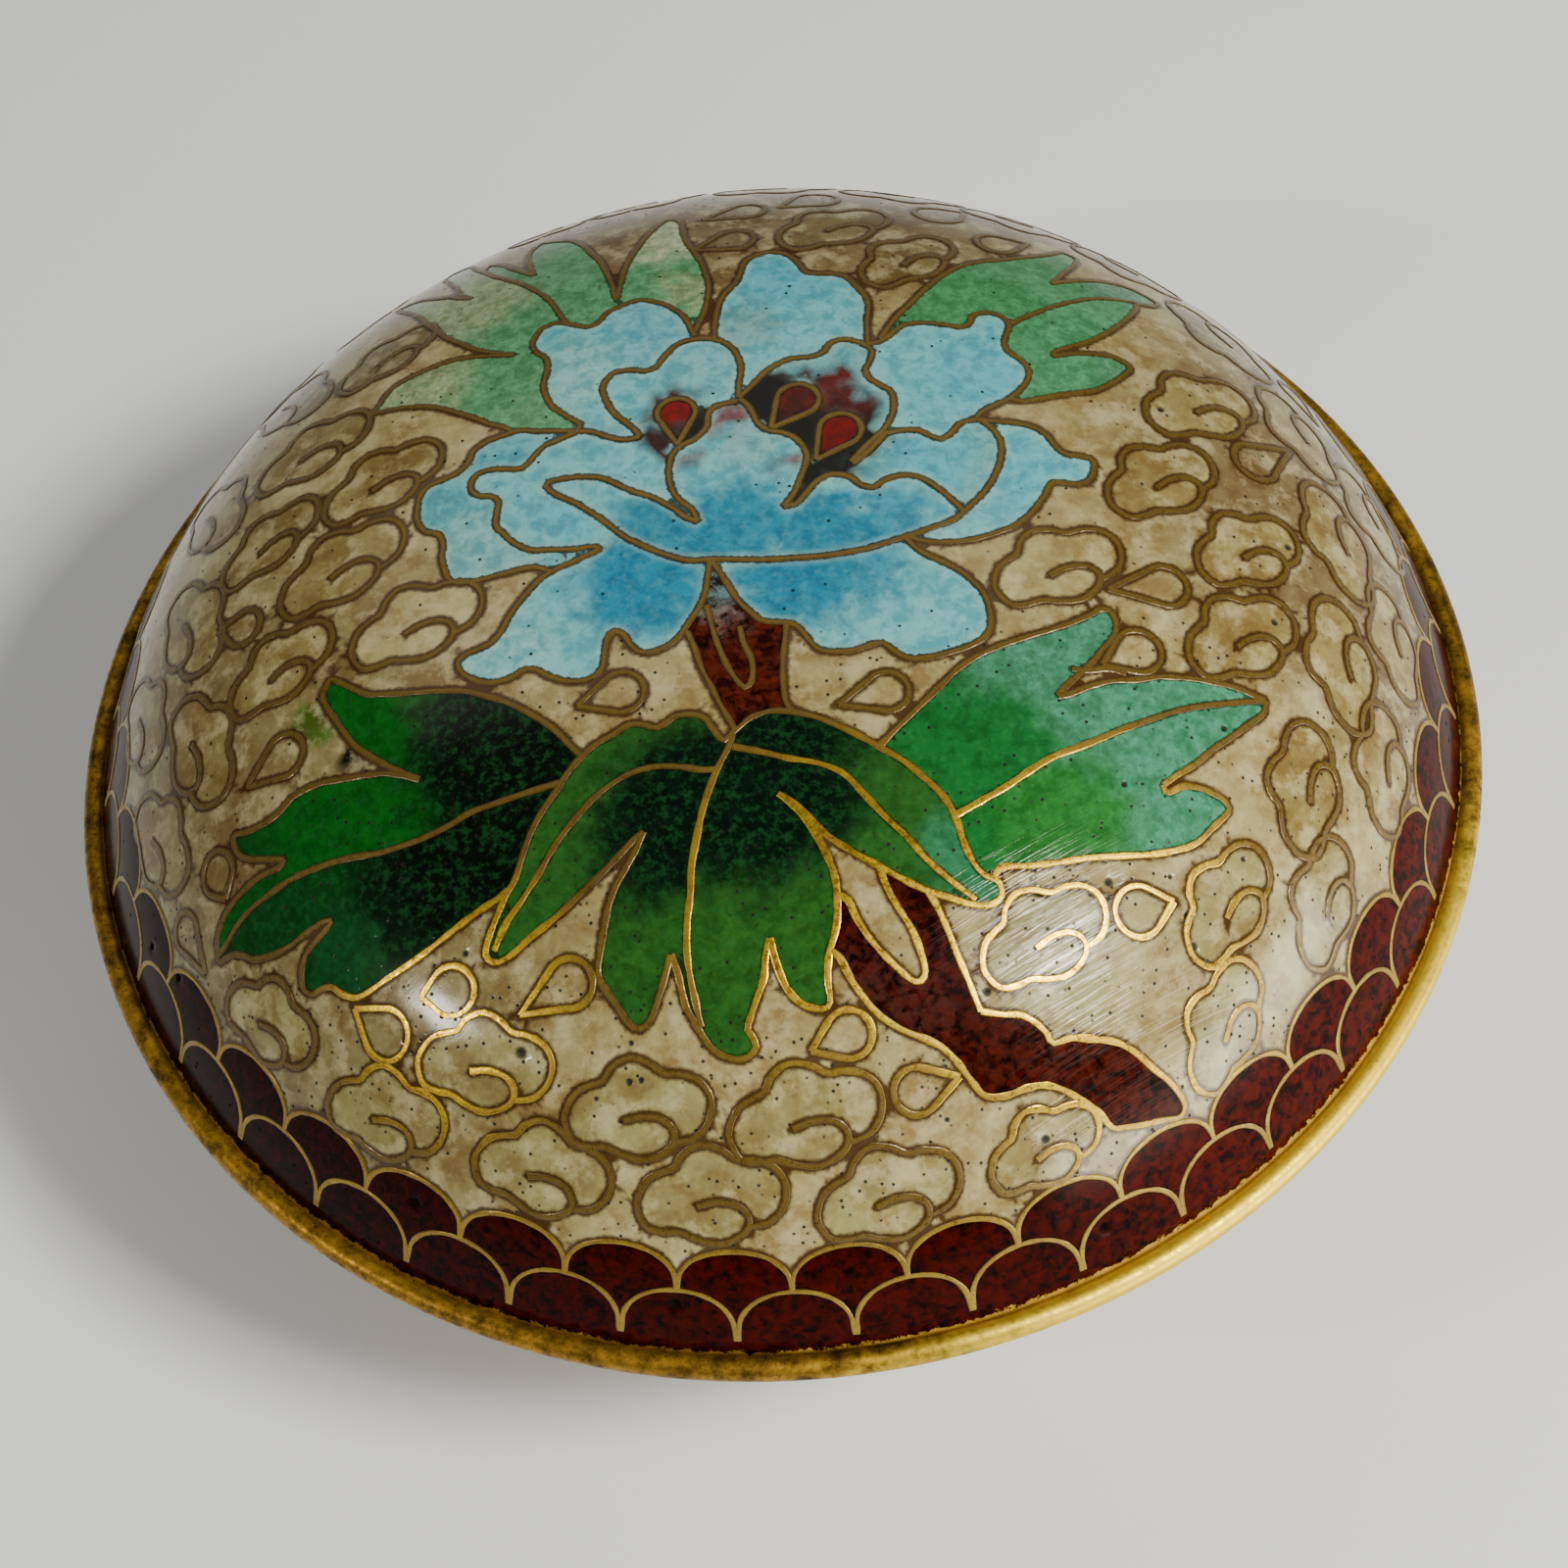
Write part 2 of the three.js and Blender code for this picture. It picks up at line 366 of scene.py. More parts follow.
FINISHES = {
    # Opaque cream enamel: marbled white and yellow, with burnt brown lines by the wires and black specks.
    Glaze.GROUND: EnamelFinish(
        name="cream_enamel", shade="#c4a486", shade_share=0.7, cloud_mm=2.2, fleck=(1.4, 1.38, 1.32),
        fleck_share=0.5, grain_mm=0.4, veil="#beb58e", veil_share=0.5, veil_mm=1.7, burn="#361c06",
        burn_share=0.92, burn_mm=0.28, roughness=0.12, specks=1.5, ior=1.36),
    # Pale blue enamel: two blues that ran together, so it looks curdled with white.
    Glaze.PETAL: EnamelFinish(
        name="petal_blue_enamel", shade="#7cbccc", shade_share=0.7, cloud_mm=0.9, fleck=(1.7, 1.3, 1.2),
        fleck_share=0.36, grain_mm=0.3, veil="#80bcc4", veil_share=0.12, veil_mm=0.5, burn="#14160a",
        burn_share=0.92, burn_mm=0.13, roughness=0.13, specks=0.7, pale_edge=0.25, shy=0.1),
    # Green enamel over a darker coat: mottled, nearly black near the stems.
    Glaze.LEAF: EnamelFinish(
        name="leaf_green_enamel", shade="#789468", shade_share=0.5, cloud_mm=0.9, fleck=(1.8, 1.5, 1.5),
        fleck_share=0.55, grain_mm=0.3, veil="#1e5a2c", veil_share=0.36, veil_mm=0.42, burn="#141a08",
        burn_share=0.8, burn_mm=0.1, roughness=0.13, specks=0.8),
    # Oxblood enamel: dark red, broken by black streaks; it mirrors little, being worn dull.
    Glaze.OXBLOOD: EnamelFinish(
        name="oxblood_enamel", shade="#341008", shade_share=0.95, cloud_mm=0.6, fleck=(2.0, 1.0, 0.8),
        fleck_share=0.6, grain_mm=0.34, veil="#440600", veil_share=0.45, veil_mm=0.5, burn="#0c0301",
        burn_share=0.6, burn_mm=0.06, roughness=0.2, specks=0.3, ior=1.12),
    # Vermilion enamel: one glossy bright drop in each stamen.
    Glaze.VERMILION: EnamelFinish(
        name="vermilion_enamel", shade="#9a5a5a", shade_share=0.6, cloud_mm=0.8, fleck=(1.4, 1.1, 1.1),
        fleck_share=0.4, grain_mm=0.3, veil="#4a0602", veil_share=0.4, veil_mm=0.6, burn="#140604",
        burn_share=0.95, burn_mm=0.14, roughness=0.1, specks=0.0, ior=1.28),
    # Turquoise counter-enamel: plain, dimpled and full of pinholes, on the faces nobody looks at.
    Glaze.COUNTER: EnamelFinish(
        name="counter_enamel", shade="#88b0c0", shade_share=0.7, cloud_mm=2.6, fleck=(1.4, 1.3, 1.2),
        fleck_share=0.5, grain_mm=0.5, veil="#6ca4a4", veil_share=0.3, veil_mm=1.6, burn="#1d6a80",
        burn_share=0.0, burn_mm=0.1, roughness=0.3),
}


# Painted highlight on the rim: the side where it lies, and from how far out, raggedly, the gilding is
# painted bright.
SHEEN_SIDE = (0.62, -0.785, 0.0)
SHEEN_FROM_MM = 22.0
SHEEN_FULL_MM = 30.0
SHEEN_RAGGED_MM = 12.0
SCRATCH_MM = 0.28


@dataclass(frozen=True)
class GiltFinish:
    """Fire-gilt brass, worn in bright and dull patches, with painted highlights on the wire crests and one
    side, and painted shade at the wire edges.
    """

    name: str
    bright: str
    dull: str
    grime: str
    roughness: float
    wear_mm: float
    burnt_edge_shade: str = "#2c1c08"
    burnt_crown_sheen: str = "#54411c"
    bare: float = 1.0
    painted_sheen: str = "#e8c83c"
    painted_sheen_share: float = 0.0

    def material(self) -> bpy.types.Material:
        """Builds the metal: worn gilding, brown grime, fine scratches, fired wire, and painted highlight and
        shade.

        Returns:
            The new material.
        """
        made = bpy.data.materials.new(self.name)
        made.use_nodes = True
        tree = made.node_tree
        tree.nodes.clear()
        place = add(tree, "TexCoord").outputs["Object"]
        fine = add(tree, "TexNoise", {
            "Vector": place, "Scale": per_mm(SCRATCH_MM), "Detail": 3.0, "Roughness": 0.7}).outputs["Fac"]
        # How brown each wire is, less at the spots of painted highlight.
        fired = add(tree, "Attribute", attribute_name="fired").outputs["Fac"]
        colour = self.worn(tree, place, fine)
        colour = self.burnt(tree, fine, fired, colour)
        rough = add(tree, "MapRange", {
            "Value": fine, "From Min": 0.35, "From Max": 0.7, "To Min": self.roughness,
            "To Max": self.roughness + 0.3}).outputs[0]
        bump = add(tree, "Bump", {
            "Height": fine, "Strength": RELIEF_SHARE, "Distance": METAL_RELIEF_MM * MM}).outputs[0]
        metal = add(tree, "Math", {0: fired, 1: -0.75, 2: self.bare}, operation="MULTIPLY_ADD").outputs[0]
        shader = add(tree, "BsdfPrincipled", {
            "Base Color": colour, "Roughness": rough, "Metallic": metal, "Normal": bump})
        add(tree, "OutputMaterial", {"Surface": shader.outputs[0]})
        return made

    def worn(self, tree: Tree, place: Socket, fine: Socket) -> Socket:
        """Wears the gilding: bright and dull patches, grime in the scratches, and a painted highlight on one
        side.

        Args:
            tree: The material's node tree.
            place: Places on the piece.
            fine: The scratches.

        Returns:
            The gilding's colour.
        """
        wear = add(tree, "TexNoise", {
            "Vector": place, "Scale": per_mm(self.wear_mm), "Detail": 5.0, "Roughness": 0.7}).outputs["Fac"]
        dulled = add(tree, "MapRange", {
            "Value": wear, "From Min": 0.38, "From Max": 0.64, "To Max": 1.0}).outputs[0]
        dirt = add(tree, "MapRange", {
            "Value": fine, "From Min": 0.56, "From Max": 0.72, "To Max": 0.85}).outputs[0]
        colour = add(tree, "Mix", {
            0: dulled, 6: linear(self.bright), 7: linear(self.dull)}, data_type="RGBA").outputs[2]
        colour = add(tree, "Mix", {0: dirt, 6: colour, 7: linear(self.grime)}, data_type="RGBA").outputs[2]
        # Painted highlight: the gilding turns bright, raggedly, towards one side of the piece.
        toward = add(tree, "VectorMath", {0: place, 1: SHEEN_SIDE}, operation="DOT_PRODUCT").outputs["Value"]
        toward = add(tree, "Math", {
            0: wear, 1: -SHEEN_RAGGED_MM * MM, 2: toward}, operation="MULTIPLY_ADD").outputs[0]
        painted_sheen = add(tree, "MapRange", {
            "Value": toward, "From Min": SHEEN_FROM_MM * MM, "From Max": SHEEN_FULL_MM * MM,
            "To Max": self.painted_sheen_share}, interpolation_type="SMOOTHSTEP").outputs[0]
        return add(tree, "Mix", {0: painted_sheen, 6: colour, 7: linear(self.painted_sheen)}, data_type="RGBA").outputs[2]

    def burnt(self, tree: Tree, fine: Socket, fired: Socket, colour: Socket) -> Socket:
        """Browns the wires that the firing left dull, with a painted highlight on the crown and painted
        shade along the edges.

        Args:
            tree: The material's node tree.
            fine: The scratches.
            fired: How brown the wire is, less where a highlight is painted on it.
            colour: The gilding's colour.

        Returns:
            The colour with its brown wires.
        """
        # Painted highlight and shade: lighter along the wire's crown, darker at its edges.
        crown_sheen = add(tree, "Attribute", attribute_name="crown_sheen").outputs["Fac"]
        crown_sheen = add(tree, "Math", {0: fine, 1: 0.9, 2: crown_sheen}, operation="MULTIPLY_ADD").outputs[0]
        crown_sheen = add(tree, "MapRange", {"Value": crown_sheen, "From Min": 0.55, "From Max": 1.3}).outputs[0]
        brown = add(tree, "Mix", {
            0: crown_sheen, 6: linear(self.burnt_edge_shade), 7: linear(self.burnt_crown_sheen)}, data_type="RGBA").outputs[2]
        return add(tree, "Mix", {0: fired, 6: colour, 7: brown}, data_type="RGBA").outputs[2]


# Polished brass wire: its flat top catches the light, and is painted lighter than its edges as a highlight
# line.
WIRE_BRASS = GiltFinish(
    name="polished_brass_wire", bright="#e8c434", dull="#c09634", grime="#7a5420", roughness=0.22,
    wear_mm=1.6)
# Fire-gilt brass rim: worn bright in patches, brown and speckled where the gold has gone, and painted bright
# as a highlight on its front right side.
RIM_GILT = GiltFinish(
    name="fire_gilt_brass", bright="#aa8226", dull="#4e380a", grime="#1c1004", roughness=0.36, wear_mm=1.2,
    bare=0.8, painted_sheen_share=0.85)


# The lining needs fewer rings than the outside: one for so many of its steps.
LINING_EVERY = 18


@dataclass(frozen=True)
class TurnedForm:
    """The outside of an enamelled form, from its middle out to the enamel's edge, in millimetres."""

    edge_radius: float
    edge_height: float
    rise: float
    flat_radius: float
    lean: float
    bow: float
    crook: float
    steps: int = 900

    def swell(self, r: np.ndarray) -> np.ndarray:
        """Gives the share of the full rise at radius r."""
        reach = self.edge_radius + self.lean - self.flat_radius
        share = np.maximum(0, r - self.flat_radius) / reach
        return (1 - share ** self.bow) ** (1 / self.crook)

    def outline(self) -> tuple[np.ndarray, np.ndarray, np.ndarray]:
        """Measures the outline.

        Returns:
            Radius, height and distance along the form, from the middle out.
        """
        turn = np.linspace(0, math.pi / 2, self.steps)
        r = self.flat_radius + (self.edge_radius - self.flat_radius) * np.sin(turn)
        if self.flat_radius:
            r = np.concatenate([np.linspace(0, self.flat_radius, 40)[:-1], r])
        low = self.swell(np.array([self.edge_radius]))
        z = self.edge_height + self.rise * (self.swell(r) - low) / (1 - low)
        along = np.concatenate([[0], np.cumsum(np.hypot(np.diff(r), np.diff(z)))])
        return r, z, along

    def reach(self) -> float:
        """Gives the distance along the form from the middle to the enamel's edge."""
        return float(self.outline()[2][-1])

    def normals(self) -> tuple[np.ndarray, np.ndarray]:
        """Gives the outward direction's radial and upright shares along the outline."""
        r, z, along = self.outline()
        across, up = np.gradient(r, along), np.gradient(z, along)
        size = np.hypot(across, up)
        side = math.copysign(1.0, self.rise)
        return -up / size * side, across / size * side

    def place(self, flat: np.ndarray, depth: np.ndarray | float) -> np.ndarray:
        """Wraps points of the flat drawing onto the form.

        Args:
            flat: Points of the drawing, measured along the form from its middle.
            depth: How far each point stands off the form, outwards.

        Returns:
            The points in the frame, in millimetres.
        """
        r, z, along = self.outline()
        normal_r, normal_z = self.normals()
        rho = np.hypot(flat[:, 0], flat[:, 1])
        turn = np.arctan2(flat[:, 1], flat[:, 0])
        radius = np.interp(rho, along, r) + np.interp(rho, along, normal_r) * depth
        height = np.interp(rho, along, z) + np.interp(rho, along, normal_z) * depth
        return np.stack([radius * np.cos(turn), radius * np.sin(turn), height], axis=1)

    def outward(self, flat: np.ndarray) -> np.ndarray:
        """Gives the outward direction at points of the flat drawing."""
        along = self.outline()[2]
        normal_r, normal_z = self.normals()
        rho = np.hypot(flat[:, 0], flat[:, 1])
        turn = np.arctan2(flat[:, 1], flat[:, 0])
        across, up = np.interp(rho, along, normal_r), np.interp(rho, along, normal_z)
        return np.stack([across * np.cos(turn), across * np.sin(turn), up], axis=1)

    def lining(self, wall: float) -> np.ndarray:
        """Gives the outline of the inner face, one wall in, cut level with the enamel's edge.

        Args:
            wall: The wall's thickness.

        Returns:
            Radius and height from the middle out, one point per row.
        """
        r, z, _ = self.outline()
        normal_r, normal_z = self.normals()
        inner = np.stack([r - normal_r * wall, z - normal_z * wall], axis=1)
        side = math.copysign(1.0, self.rise)
        left = (inner[:, 1] - self.edge_height) * side
        last = int(np.argmax(left <= 0))
        share = left[last - 1] / (left[last - 1] - left[last])
        edge = inner[last - 1] + (inner[last] - inner[last - 1]) * share
        kept = inner[:last][::LINING_EVERY]
        kept[0, 0] = 0.0
        return np.vstack([kept, edge])


@dataclass(frozen=True)
class Wash:
    """A second colour in a cell, some of them painted shade: full over the inner half of its reach, then
    fading out.
    """

    middle: Point
    reach: float
    colour: str
    share: float = 1.0


# A wash ends in curls: how far they stray, and how big they are.
WASH_DRIFT_MM = 1.3
WASH_CURL_MM = 0.9


@dataclass(frozen=True)
class Patch:
    """One enamelled cell, found by a point inside it, with its glaze and colours."""

    seed: Point
    glaze: Glaze
    colour: str
    washes: tuple[Wash, ...] = ()

    def tint(self, flat: np.ndarray) -> np.ndarray:
        """Gives the cell's colour at points of the drawing.

        Args:
            flat: The points, one per row.

        Returns:
            Linear colours, one per row.
        """
        colours = np.tile(linear(self.colour), (len(flat), 1))
        for wash in self.washes:
            away = np.hypot(flat[:, 0] - wash.middle[0], flat[:, 1] - wash.middle[1])
            drift = np.array([noise.noise(Vector((u, v, 0.0)) / WASH_CURL_MM) for u, v in flat])
            away += WASH_DRIFT_MM * drift
            share = smooth(2 * (1 - away / wash.reach))[:, None] * wash.share
            colours = colours * (1 - share) + np.array(linear(wash.colour)) * share
        return colours


@dataclass
class Drawing:
    """The wires and cells of one enamelled face, drawn flat, in millimetres along the form."""

    lines: list[Line] = field(default_factory=list)
    patches: list[Patch] = field(default_factory=list)
    pits: list[tuple[float, float, float]] = field(default_factory=list)

    def cloud(self, middle: Point, turn: float, size: float = 1.0, flip: bool = False,
              colour: str = "#8c7e48") -> None:
        """Adds one curled cloud.

        Args:
            middle: Where it lies.
            turn: Its turn in degrees, anticlockwise.
            size: Its size, as a share of the usual one.
            flip: Whether it is drawn the other way round.
            colour: The enamel inside it.
        """
        angle, side = math.radians(turn), -1 if flip else 1

        def laid(point: Point) -> Point:
            """Lays a point of the plain cloud in its place."""
            x, y = point[0] * size * side, point[1] * size
            return (middle[0] + x * math.cos(angle) - y * math.sin(angle),
                    middle[1] + x * math.sin(angle) + y * math.cos(angle))

        self.lines.append([laid(p) for p in CLOUD_LINE])
        self.patches.append(Patch(laid(CLOUD_SEED), Glaze.GROUND, colour))

    def drop(self, middle: Point, round_radius: float, tip: Point) -> None:
        """Adds one teardrop: a round with both of its sides drawn out to a tip.

        Args:
            middle: The middle of the round.
            round_radius: The round's radius.
            tip: Where the sides meet.
        """
        away = math.atan2(tip[1] - middle[1], tip[0] - middle[0])
        points = [tip]
        for i in range(DROP_STEPS + 1):
            angle = away + math.radians(DROP_OPENING + (360 - 2 * DROP_OPENING) / DROP_STEPS * i)
            points.append((middle[0] + round_radius * math.cos(angle),
                           middle[1] + round_radius * math.sin(angle)))
        self.lines.append([*points, tip])

    def scales(self, reach: float, band: ScaleBand) -> None:
        """Adds two rows of scales along the edge."""
        for row in (band.lower(reach), band.upper(reach)):
            for azimuth in row.azimuths():
                self.lines.append(row.arc(azimuth))


# One curled cloud, from the end of its curl round to where its wires meet, and a point inside it.
CLOUD_LINE: Line = [
    (-0.6, -0.6), (0.3, -0.2), (1.25, -0.15), (1.85, -0.55), (1.9, -1.2), (1.3, -1.85), (0.5, -2.2),
    (-0.5, -2.15), (-1.25, -2.0), (-2.0, -2.15), (-2.8, -2.1), (-3.3, -1.5), (-3.45, -0.85), (-3.1, 0.1),
    (-2.5, 0.6), (-1.9, 0.95), (-1.65, 1.6), (-0.95, 2.2), (0.0, 2.2), (0.8, 1.9), (1.55, 2.05),
    (2.5, 1.95), (3.2, 1.35), (3.35, 0.4), (2.95, -0.5), (2.2, -0.95), (1.9, -1.0),
]
CLOUD_SEED: Point = (-1.6, -1.0)
# Half of a teardrop's opening towards its tip, in degrees, and the steps of its round.
DROP_OPENING = 52
DROP_STEPS = 10


@dataclass(frozen=True)
class ScaleRow:
    """One row of scales: equal arcs with their feet on one ring and their tops on another."""

    count: int
    first: float
    feet: float
    tops: float
    gap: float
    roundness: float = 0.72

    def half(self) -> float:
        """Gives half of a scale's turn, in radians."""
        return math.pi / self.count - self.gap / 2 / self.feet

    def azimuths(self) -> list[float]:
        """Lists the middles of the scales, in radians."""
        return [math.radians(self.first) + 2 * math.pi * i / self.count for i in range(self.count)]

    def arc(self, middle: float) -> Line:
        """Draws the wire of one scale."""
        line = []
        for i in range(13):
            t = math.pi * i / 12
            rho = self.feet - (self.feet - self.tops) * math.sin(t) ** self.roundness
            turn = middle - self.half() * math.cos(t)
            line.append((rho * math.cos(turn), rho * math.sin(turn)))
        return line

    def holds(self, rho: np.ndarray, turn: np.ndarray) -> np.ndarray:
        """Tells which points lie inside a scale of this row."""
        pitch = 2 * math.pi / self.count
        off = np.mod(turn - math.radians(self.first) + pitch / 2, pitch) - pitch / 2
        share = np.clip(1 - (off / self.half()) ** 2, 0, 1)
        return rho > self.feet - (self.feet - self.tops) * share ** (self.roundness / 2)


@dataclass(frozen=True)
class ScaleBand:
    """Two rows of scales that lap like tiles, along the enamel's edge."""

    count: int = 40
    first: float = 266.2
    foot_margin: float = 0.95
    row_rise: float = 2.9
    arc_rise: float = 3.0
    gap: float = 0.12

    def lower(self, reach: float) -> ScaleRow:
        """Gives the row next to the edge."""
        feet = reach - self.foot_margin
        return ScaleRow(self.count, self.first, feet, feet - self.arc_rise, self.gap)

    def upper(self, reach: float) -> ScaleRow:
        """Gives the row behind it, half a scale on."""
        feet = reach - self.foot_margin - self.row_rise
        return ScaleRow(self.count, self.first + 180 / self.count, feet, feet - self.arc_rise + 0.55, 0.0)

    def holds(self, rho: np.ndarray, turn: np.ndarray, reach: float) -> np.ndarray:
        """Tells which points of the drawing lie in the band."""
        inside = self.lower(reach).holds(rho, turn) | self.upper(reach).holds(rho, turn)
        return inside | (rho > reach - self.foot_margin - 0.2)


COUNTER_PATCH = Patch((0.0, 0.0), Glaze.COUNTER, "#3a8c9c")
GLAZES: dict[Glaze, bpy.types.Material] = {}
METALS: dict[str, bpy.types.Material] = {}

# Corners beside a wire: how far off it they lie, how clear of every wire they stay, and which ones are kept.
BESIDE_WIRES = ((0.18, 0.14, 1), (-0.18, 0.14, 1), (0.42, 0.34, 2), (-0.42, 0.34, 2))
# The net of corners in open enamel stops this far from the edge, and every other corner this far.
NET_MARGIN_MM = 0.4
EDGE_MARGIN_MM = 0.1
# Corners closer than this count as one.
ONE_CORNER_MM = 0.05
# Faces closer to a wire than this lie under it, and take their glaze from the cell beside.
UNDER_WIRE_MM = 0.11
UNDER_WIRE_ROUNDS = 6
# Pits, as shares of their radius: the rings of corners round them, how far they reach and how deep they are.
PIT_RINGS = (0.8, 1.35)
PIT_REACH = 1.2
PIT_DEPTH = 0.7
PIT_BLACKENING = 2.6
FAR_FROM_WIRE_MM = 1.5
# The spot that was scored in polishing, lower right of the picture.
SCORED_SPOT: Point = (13.0, -26.0)
SCORED_REACH_MM = 10.5
# Gilding smeared over the enamel's edge: how far in it reaches, and the side where it is thickest.
SMEARED_RIM_MM = 1.1
SMEARED_TURN = -0.95
SMEARED_HALF_TURN = 0.6
# Wires waver in breadth by this share, over this distance.
WIRE_WOBBLE = 0.34
WIRE_WOBBLE_MM = 0.7
WIRE_WOBBLE_START = 3.7
# How brown the firing left the wires, how much brown a painted highlight takes off, and the spots of painted
# highlight with their reach.
SCALE_WIRE_FIRED = 0.7
WIRE_FIRED = 0.92
SHEEN_LIFT = 0.84
SHEEN_SPOTS = (((13.0, -24.0), 13.0), ((-17.5, -23.0), 8.5), ((2.0, -21.0), 10.0))


@dataclass
class EnamelShell:
    """An enamelled copper wall: cells of glass between wires outside, plain counter-enamel inside."""

    name: str
    form: TurnedForm
    wall: float
    drawing: Drawing
    band: ScaleBand
    ground: Patch
    scale_patch: Patch
    plain_radius: float = 0.0
    wire_width: float = 0.33
    scale_wire_width: float = 0.25
    wire_step: float = 0.3
    enamel_drop: float = 0.045
    filler: float = 0.62
    around: int = 288
    front_wear: float = 0.3

    @cached_property
    def reach(self) -> float:
        """Measures the drawing once, from its middle to the edge."""
        return self.form.reach()

    @cached_property
    def bent_wires(self) -> list[np.ndarray]:
        """Bends every wire of the drawing once."""
        return [flowing(line, self.wire_step) for line in self.drawing.lines]

    @cached_property
    def wire_tree(self) -> kdtree.KDTree:
        """Builds a search tree over close points of every wire, once."""
        dense = []
        for wire in self.bent_wires:
            for share in (0.0, 1 / 3, 2 / 3):
                dense.append(wire[:-1] + (wire[1:] - wire[:-1]) * share)
            dense.append(wire[-1:])
        points = np.vstack(dense)
        tree = kdtree.KDTree(len(points))
        for i, (u, v) in enumerate(points):
            tree.insert((u, v, 0.0), i)
        tree.balance()
        return tree

    def to_wires(self, flat: np.ndarray) -> np.ndarray:
        """Measures how far points of the drawing are from the nearest wire."""
        return np.array([self.wire_tree.find((u, v, 0.0))[2] for u, v in flat])

    def build(self) -> bpy.types.Object:
        """Makes the enamelled wall as one closed piece.

        Returns:
            The piece, in its place.
        """
        flat, faces, fixed = triangulated(*self.corner_points())
        return self.closed_mesh(flat, faces, self.cells(flat, faces, fixed))

    def corner_points(self) -> tuple[np.ndarray, list[Edge]]:
        """Lays out the corners of the cells' mesh: along the wires, round the edge and between.

        Returns:
            The corners, and the pairs that must stay joined.
        """
        stacks, edges, count = [], [], 0
        for wire in self.bent_wires:
            edges += [(count + i, count + i + 1) for i in range(len(wire) - 1)]
            stacks.append(wire)
            count += len(wire)
        turns = 2 * math.pi * np.arange(self.around) / self.around
        rim = self.reach * np.stack([np.cos(turns), np.sin(turns)], axis=1)
        edges += [(count + i, count + (i + 1) % self.around) for i in range(self.around)]
        stacks.append(rim)
        extra = np.vstack([*self.beside_wires(), self.net(), *self.pit_rings()])
        extra = extra[np.hypot(*extra.T) < self.reach - EDGE_MARGIN_MM]
        keys = np.round(extra / ONE_CORNER_MM).astype(int)
        _, first = np.unique(keys, axis=0, return_index=True)
        stacks.append(extra[np.sort(first)])
        return np.vstack(stacks), edges

    def beside_wires(self) -> list[np.ndarray]:
        """Lays corners along both sides of every wire, clear of the other wires."""
        beside = []
        for wire in self.bent_wires:
            along = np.gradient(wire, axis=0)
            across = np.stack([-along[:, 1], along[:, 0]], axis=1)
            across /= np.maximum(1e-9, np.hypot(*along.T))[:, None]
            for off, clear, every in BESIDE_WIRES:
                shifted = wire + across * off
                beside.append(shifted[self.to_wires(shifted) > clear][::every])
        return beside

    def net(self) -> np.ndarray:
        """Lays an even net of corners over the open enamel."""
        rows = []
        for i, v in enumerate(np.arange(-self.reach, self.reach, self.filler * math.sqrt(3) / 2)):
            us = np.arange(-self.reach, self.reach, self.filler) + (self.filler / 2 if i % 2 else 0)
            rows.append(np.stack([us, np.full_like(us, v)], axis=1))
        net = np.vstack(rows)
        net = net[np.hypot(*net.T) < self.reach - NET_MARGIN_MM]
        return net[self.to_wires(net) > self.filler]

    def pit_rings(self) -> list[np.ndarray]:
        """Lays a middle corner and two rings of corners for each of the bigger pits."""
        turns = np.linspace(0, 2 * math.pi, 8, endpoint=False)
        ring = np.stack([np.cos(turns), np.sin(turns)], axis=1)
        return [np.vstack([[(u, v)], *[(u, v) + ring * radius * share for share in PIT_RINGS]])
                for u, v, radius in self.drawing.pits]

    def cells(self, flat: np.ndarray, faces: np.ndarray, fixed: set[Edge]) -> list[Patch]:
        """Finds the cell that each face of the mesh belongs to.

        Args:
            flat: The mesh's corners in the drawing.
            faces: Its triangles.
            fixed: The edges that lie on wires.

        Returns:
            The patch of each face.
        """
        middles = flat[faces].mean(axis=1)
        owners = self.spread(middles, self.to_wires(middles) > UNDER_WIRE_MM, neighbours(faces, fixed))
        rho = np.hypot(*middles.T)
        scaled = self.band.holds(rho, np.arctan2(middles[:, 1], middles[:, 0]), self.reach)
        picked = []
        for i, owner in enumerate(owners):
            if rho[i] < self.plain_radius:
                picked.append(COUNTER_PATCH)
            elif scaled[i]:
                picked.append(self.scale_patch)
            else:
                picked.append(self.drawing.patches[owner] if owner >= 0 else self.ground)
        return picked

    def spread(self, middles: np.ndarray, open_face: np.ndarray, links: list[list[int]]) -> np.ndarray:
        """Spreads each patch from its seed as far as the wires, and then under them.

        Args:
            middles: The middle of each face in the drawing.
            open_face: Which faces lie clear of the wires.
            links: The faces that each face meets where no wire parts them.

        Returns:
            The number of each face's patch, or -1 where none reaches.
        """
        seats = kdtree.KDTree(len(middles))
        for i, (u, v) in enumerate(middles):
            seats.insert((u, v, 0.0), i)
        seats.balance()
        owner = np.full(len(middles), -1)
        for number, patch in enumerate(self.drawing.patches):
            waiting = [seats.find((*patch.seed, 0.0))[1]]
            while waiting:
                face = waiting.pop()
                if owner[face] == number or not open_face[face]:
                    continue
                owner[face] = number
                waiting += [pal for pal in links[face] if owner[pal] != number]
        decided = open_face.copy()
        pending = [i for i in range(len(middles)) if not decided[i]]
        for _ in range(UNDER_WIRE_ROUNDS):
            for face in pending:
                known = [pal for pal in links[face] if decided[pal]]
                if known and not decided[face]:
                    owner[face] = owner[known[0]]
                    decided[face] = True
        return owner

